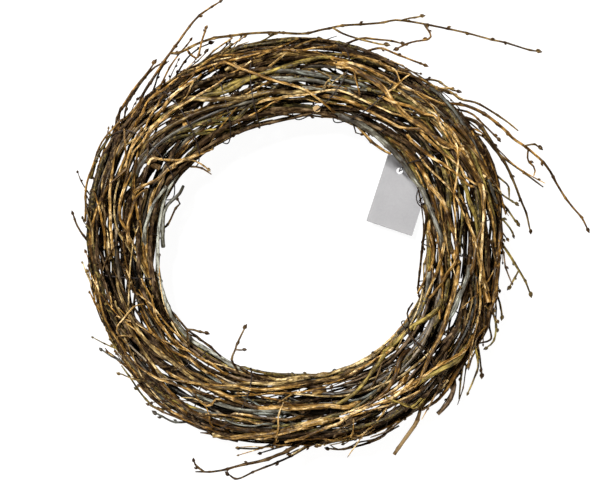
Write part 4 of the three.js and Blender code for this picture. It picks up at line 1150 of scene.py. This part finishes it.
def buildLooseTwigs(bm, group, loose):
    last = loosePath["points"] - 1
    for index in range(loose["count"]):
        seed = loosePath["seed"] + group * loosePath["groupSeed"] + index
        reach = between(loose["reach"], draw(seed, 1, 51))
        start = 360 * ((index * loosePath["startSpacing"] + loosePath["groupStart"] * group) % 1)
        turn = (index * loosePath["turnSpacing"] + loosePath["groupTurn"] * group) % 1
        turn *= 2 * math.pi
        length = between(loose["length"], draw(seed, 2, 51))
        # Most twigs work their way to the outer edge, over the front or the back
        drift = loose["drift"] * (2 * draw(seed, 3, 51) - 1.5) * (1 if turn < math.pi else -1)
        thick = between(loose["radius"], draw(seed, 4, 51) ** loosePath["thinning"])
        points = []
        for step in range(last + 1):
            share = step / last
            flare = loose["flare"] * draw(seed, 5, 51) * share ** 3
            flare -= loosePath["rootSunk"] * (1 - share) ** 4
            phase = loosePath["waves"] * share + loosePath["wavePhase"] * draw(seed, 6, 51)
            points.append(bundlePoint(start + length * share, reach + flare,
                                      turn + drift * share + loosePath["wave"] * math.sin(phase)))
        radii = tapering(thick, loosePath["root"], loosePath["taper"], len(points))
        tone = loose["tone"] + loosePath["toneSpread"] * (draw(seed, 7, 51) - 0.5)
        growTwig(bm, loose["kind"], points, radii, seed, tone)
        if loose["sides"] and draw(seed, 8, 51) < sideTwig["share"]:
            addSideTwig(bm, points, seed + sideTwig["seed"], tone)


for group, (name, row) in enumerate(looseTwigs.items()):
    makePiece(name, name.split("_")[-1] + "_bark", [], buildLooseTwigs, group,
              dict(zip(looseFields, row)))

# Short tips that stand out of the outer edge, closer together where the ring is roughest
fringe = {
    "name": "outer_tips", "count": 84, "length": (9, 24), "lean": (0.08, 0.36),
    "radius": (0.3, 0.58), "rough": [(316, 36), (85, 50), (205, 50)], "reach": 0.97,
    "turn": (-0.7, 1.4), "places": (0, 0.25, 0.5, 0.75, 1), "lengthAtRing": 100, "spread": 1.6,
    "wave": 1.2, "waves": 4, "taper": 0.08, "tone": (0.5, 0.8), "seed": 9000,
}


def fringeAngle(index):
    # Two tips in three stand in the rough stretches, the others anywhere
    if index % 3 == 0:
        return 360 * draw(index, 1, 91)
    middle, width = fringe["rough"][index // 3 % len(fringe["rough"])]
    return middle + width * (2 * draw(index, 2, 91) - 1)


def buildFringe(bm, part):
    centre = Vector((*ring["centre"], ring["midHeight"]))
    for index in range(part, fringe["count"], 2):
        seed = fringe["seed"] + index
        angle = fringeAngle(index)
        length = between(fringe["length"], draw(seed, 1, 92))
        lean = between(fringe["lean"], draw(seed, 2, 92))
        turn = between(fringe["turn"], draw(seed, 3, 92))
        points = []
        for share in fringe["places"]:
            swing = math.degrees(length * share / fringe["lengthAtRing"])
            place = bundlePoint(angle + swing, fringe["reach"], turn)
            outward = (place - centre).normalized()
            points.append(place + outward * length * lean * share ** fringe["spread"]
                          + upright * fringe["wave"] * math.sin(fringe["waves"] * share + index))
        thick = between(fringe["radius"], draw(seed, 4, 92))
        radii = [thick * (1 - fringe["taper"] * n) for n in range(len(points))]
        growTwig(bm, "fine", points, radii, seed, between(fringe["tone"], draw(seed, 5, 92)))


for part, slotName in enumerate(("dark_bark", "golden_bark")):
    makePiece(fringe["name"] + "_" + slotName.split("_")[0], slotName, [], buildFringe, part)
print("loose twigs laid")

# The card tag: its corner from the ring's centre, how it is turned and tilted, and its hole
tag = {
    "width": 24, "length": 36, "thickness": 0.6, "corner": (36, 9.6), "turn": -18.4, "tilt": 8,
    "lift": 1.4, "holeRadius": 1.7, "holeSegments": 28, "hole": (8.1, 29.4), "roundCorners": 0.5,
    "cornerSegments": 3,
}
across = Matrix.Rotation(math.radians(tag["turn"]), 3, "Z") @ Vector((1, 0, 0))
lengthwise = Matrix.Rotation(math.radians(-tag["tilt"]), 3, across) @ upright.cross(across)
upward = across.cross(lengthwise)
tagCorner = Vector((ring["centre"][0] + tag["corner"][0], ring["centre"][1] + tag["corner"][1],
                    tag["lift"] + tag["length"] * math.sin(math.radians(tag["tilt"]))))


def tagPoint(x, y, z):
    return tagCorner + across * x + lengthwise * y + upward * z


def newVerts(made):
    return [part for part in made["geom"] if isinstance(part, bmesh.types.BMVert)]


def buildTag(bm):
    # The card's outline and its hole are filled, and the face is drawn out to the card's thickness
    width, length = tag["width"], tag["length"]
    card = bmesh.ops.create_grid(bm, x_segments=1, y_segments=1, size=0.5,
                                 matrix=Matrix.Translation((width / 2, length / 2, 0))
                                 @ Matrix.Diagonal((width, length, 1, 1)))
    bmesh.ops.bevel(bm, geom=card["verts"], offset=tag["roundCorners"],
                    segments=tag["cornerSegments"], affect="VERTICES", profile=0.5, material=-1)
    bmesh.ops.delete(bm, geom=list(bm.faces), context="FACES_ONLY")
    bmesh.ops.create_circle(bm, segments=tag["holeSegments"], radius=tag["holeRadius"],
                            matrix=Matrix.Translation((*tag["hole"], 0)))
    filled = bmesh.ops.triangle_fill(bm, edges=list(bm.edges), use_beauty=True)
    faces = [part for part in filled["geom"] if isinstance(part, bmesh.types.BMFace)]
    drawn = bmesh.ops.extrude_face_region(bm, geom=faces)
    bmesh.ops.translate(bm, verts=newVerts(drawn), vec=(0, 0, tag["thickness"]))
    bmesh.ops.recalc_face_normals(bm, faces=list(bm.faces))
    for vert in bm.verts:
        vert.co = tagPoint(*vert.co) * mm


# The binding wire goes through the tag's hole and then winds round the bundle. The turns in seen
# lie on the twigs of the front, moved by so many degrees, and the others have sunk between them.
wire = {
    "turns": 20, "steps": 12, "radius": 0.3, "sides": 6, "inset": -0.3, "sunk": (2.16, 3.6),
    "raised": 1.2, "loop": 0.7, "startAngle": 55.7, "startTurn": -190, "stopSteps": 4,
    "throughHole": [(34.5, -1.3), (29.4, -1.1), (29.4, 2.2)],
    "toRing": [(57, 63.6, 10), (56.6, 64, 16)],
    "seen": {4: 0, 8: -6.5, 13: 10, 14: 7, 15: 4.7, 16: -3, 17: 11.5, 18: 8},
    "hangingLoop": [(67, 143, 5), (66.6, 136, 6), (68.6, 132, 6.5), (71, 129, 6), (73.8, 129, 5),
                    (76.1, 133, 3)],
}


def addWire(bm, points, seed, every=1):
    path, lengths = [values[::every] for values in smoothPath(points)[:2]]
    count = len(path)
    addTube(bm, path, [wire["radius"]] * count, lengths, [0] * count, [0.5] * count,
            wire["sides"], seed)


def buildWire(bm):
    points = [tagPoint(tag["hole"][0], y, z) for y, z in wire["throughHole"]]
    points += [polarPoint(*place) for place in wire["toRing"]]
    steps = wire["turns"] * wire["steps"]
    for step in range(steps - wire["stopSteps"]):
        number = step // wire["steps"]
        turn = math.radians(wire["startTurn"] - 360 * step / wire["steps"])
        onTop = max(0, math.sin(turn))
        depth = between(wire["sunk"], draw(number, 2, 81))
        if number in wire["seen"]:
            depth = -wire["raised"]
        slack = wire["inset"] - depth * onTop + wire["loop"] * (draw(step, 1, 81) - math.cos(turn))
        angle = wire["startAngle"] + 360 * step / steps + wire["seen"].get(number, 0) * onTop
        points.append(bundlePoint(angle, 1, turn, slack))
    addWire(bm, points, 77, every=2)


def buildLoop(bm):
    addWire(bm, [polarPoint(a, d * pictureScale, ring["midHeight"] + h)
                 for a, d, h in wire["hangingLoop"]], 78)


makePiece("wound_wire", "wire", ["binding_wire"], buildWire)
makePiece("wire_loop", "wire", [], buildLoop)
makePiece("card_tag", "card", ["blank_tag"], buildTag)
print("wire and tag made")

# A round pale floor that glows a little, as a lit table does, and turns up into a wall far away,
# a key and a fill lamp, and low warm lamps all round, so that the flanks are lit too
studio = {
    "floorRadius": 4.0, "floorSegments": 96, "floorDrop": 0.0002, "wallHeight": 3.0,
    "floorGlow": 0.96, "floorColour": (0.1, 0.1, 0.1, 1), "floorRough": 0.9,
    "keyPlace": (-0.42, 0.48, 1.15), "keySize": 0.3, "keyPower": 32,
    "fillPlace": (0.9, -0.6, 0.8), "fillSize": 1.2, "fillPower": 1.0,
    "sides": 4, "sideTurn": 0.4, "sideDistance": 1.0, "sideHeight": 0.13, "sideSize": 0.4,
    "sidePower": 6.5, "warm": (1, 0.89, 0.74), "white": (1, 1, 1), "worldStrength": 0.03,
}
bm = bmesh.new()
bmesh.ops.create_circle(bm, cap_ends=True, segments=studio["floorSegments"],
                        radius=studio["floorRadius"])
wall = bmesh.ops.extrude_edge_only(bm, edges=list(bm.edges))
bmesh.ops.translate(bm, verts=newVerts(wall), vec=(0, 0, studio["wallHeight"]))
floorMesh = bpy.data.meshes.new("floor")
bm.to_mesh(floorMesh)
bm.free()
floor = bpy.data.objects.new("floor", floorMesh)
scene.collection.objects.link(floor)
floor.location.z = -studio["floorDrop"]
floor.visible_diffuse = False
floor.visible_glossy = False
floorMesh.materials.append(NodeTree("pale_floor").finish({
    "Base Color": studio["floorColour"], "Roughness": studio["floorRough"],
    "Emission Color": (*studio["white"], 1), "Emission Strength": studio["floorGlow"],
}))


def addLight(name, place, size, power, colour):
    light = bpy.data.lights.new(name, "AREA")
    light.energy = power
    light.color = colour
    light.shape = "DISK"
    light.size = size
    lamp = bpy.data.objects.new(name, light)
    scene.collection.objects.link(lamp)
    lamp.location = place
    lamp.rotation_euler = (-Vector(place)).to_track_quat("-Z", "Y").to_euler()


addLight("key_light", studio["keyPlace"], studio["keySize"], studio["keyPower"], studio["white"])
addLight("fill_light", studio["fillPlace"], studio["fillSize"], studio["fillPower"], studio["warm"])
for index in range(studio["sides"]):
    turn = 2 * math.pi * (index + studio["sideTurn"]) / studio["sides"]
    place = (studio["sideDistance"] * math.sin(turn), studio["sideDistance"] * math.cos(turn),
             studio["sideHeight"])
    addLight(f"side_light_{index + 1}", place, studio["sideSize"], studio["sidePower"],
             studio["warm"])
world = bpy.data.worlds.new("studio")
scene.world = world
world.use_nodes = True
background = world.node_tree.nodes["Background"]
background.inputs["Color"].default_value = (*studio["warm"], 1)
background.inputs["Strength"].default_value = studio["worldStrength"]
scene.view_settings.view_transform = "Standard"

# The camera looks straight down at the middle of the picture, whose width is given at a height
view = {"lens": 85, "clipStart": 0.01, "width": 292.8, "middle": (-15.17, -0.95), "height": 22}
lensData = bpy.data.cameras.new("camera")
lensData.lens = view["lens"]
lensData.clip_start = view["clipStart"]
camera = bpy.data.objects.new("camera", lensData)
scene.collection.objects.link(camera)
distance = view["width"] * view["lens"] / lensData.sensor_width
camera.location = Vector((*view["middle"], view["height"] + distance)) * mm
scene.camera = camera
faces = [face for thing in scene.objects if thing.type == "MESH" for face in thing.data.polygons]
print("studio set, triangles:", sum(len(face.vertices) - 2 for face in faces))
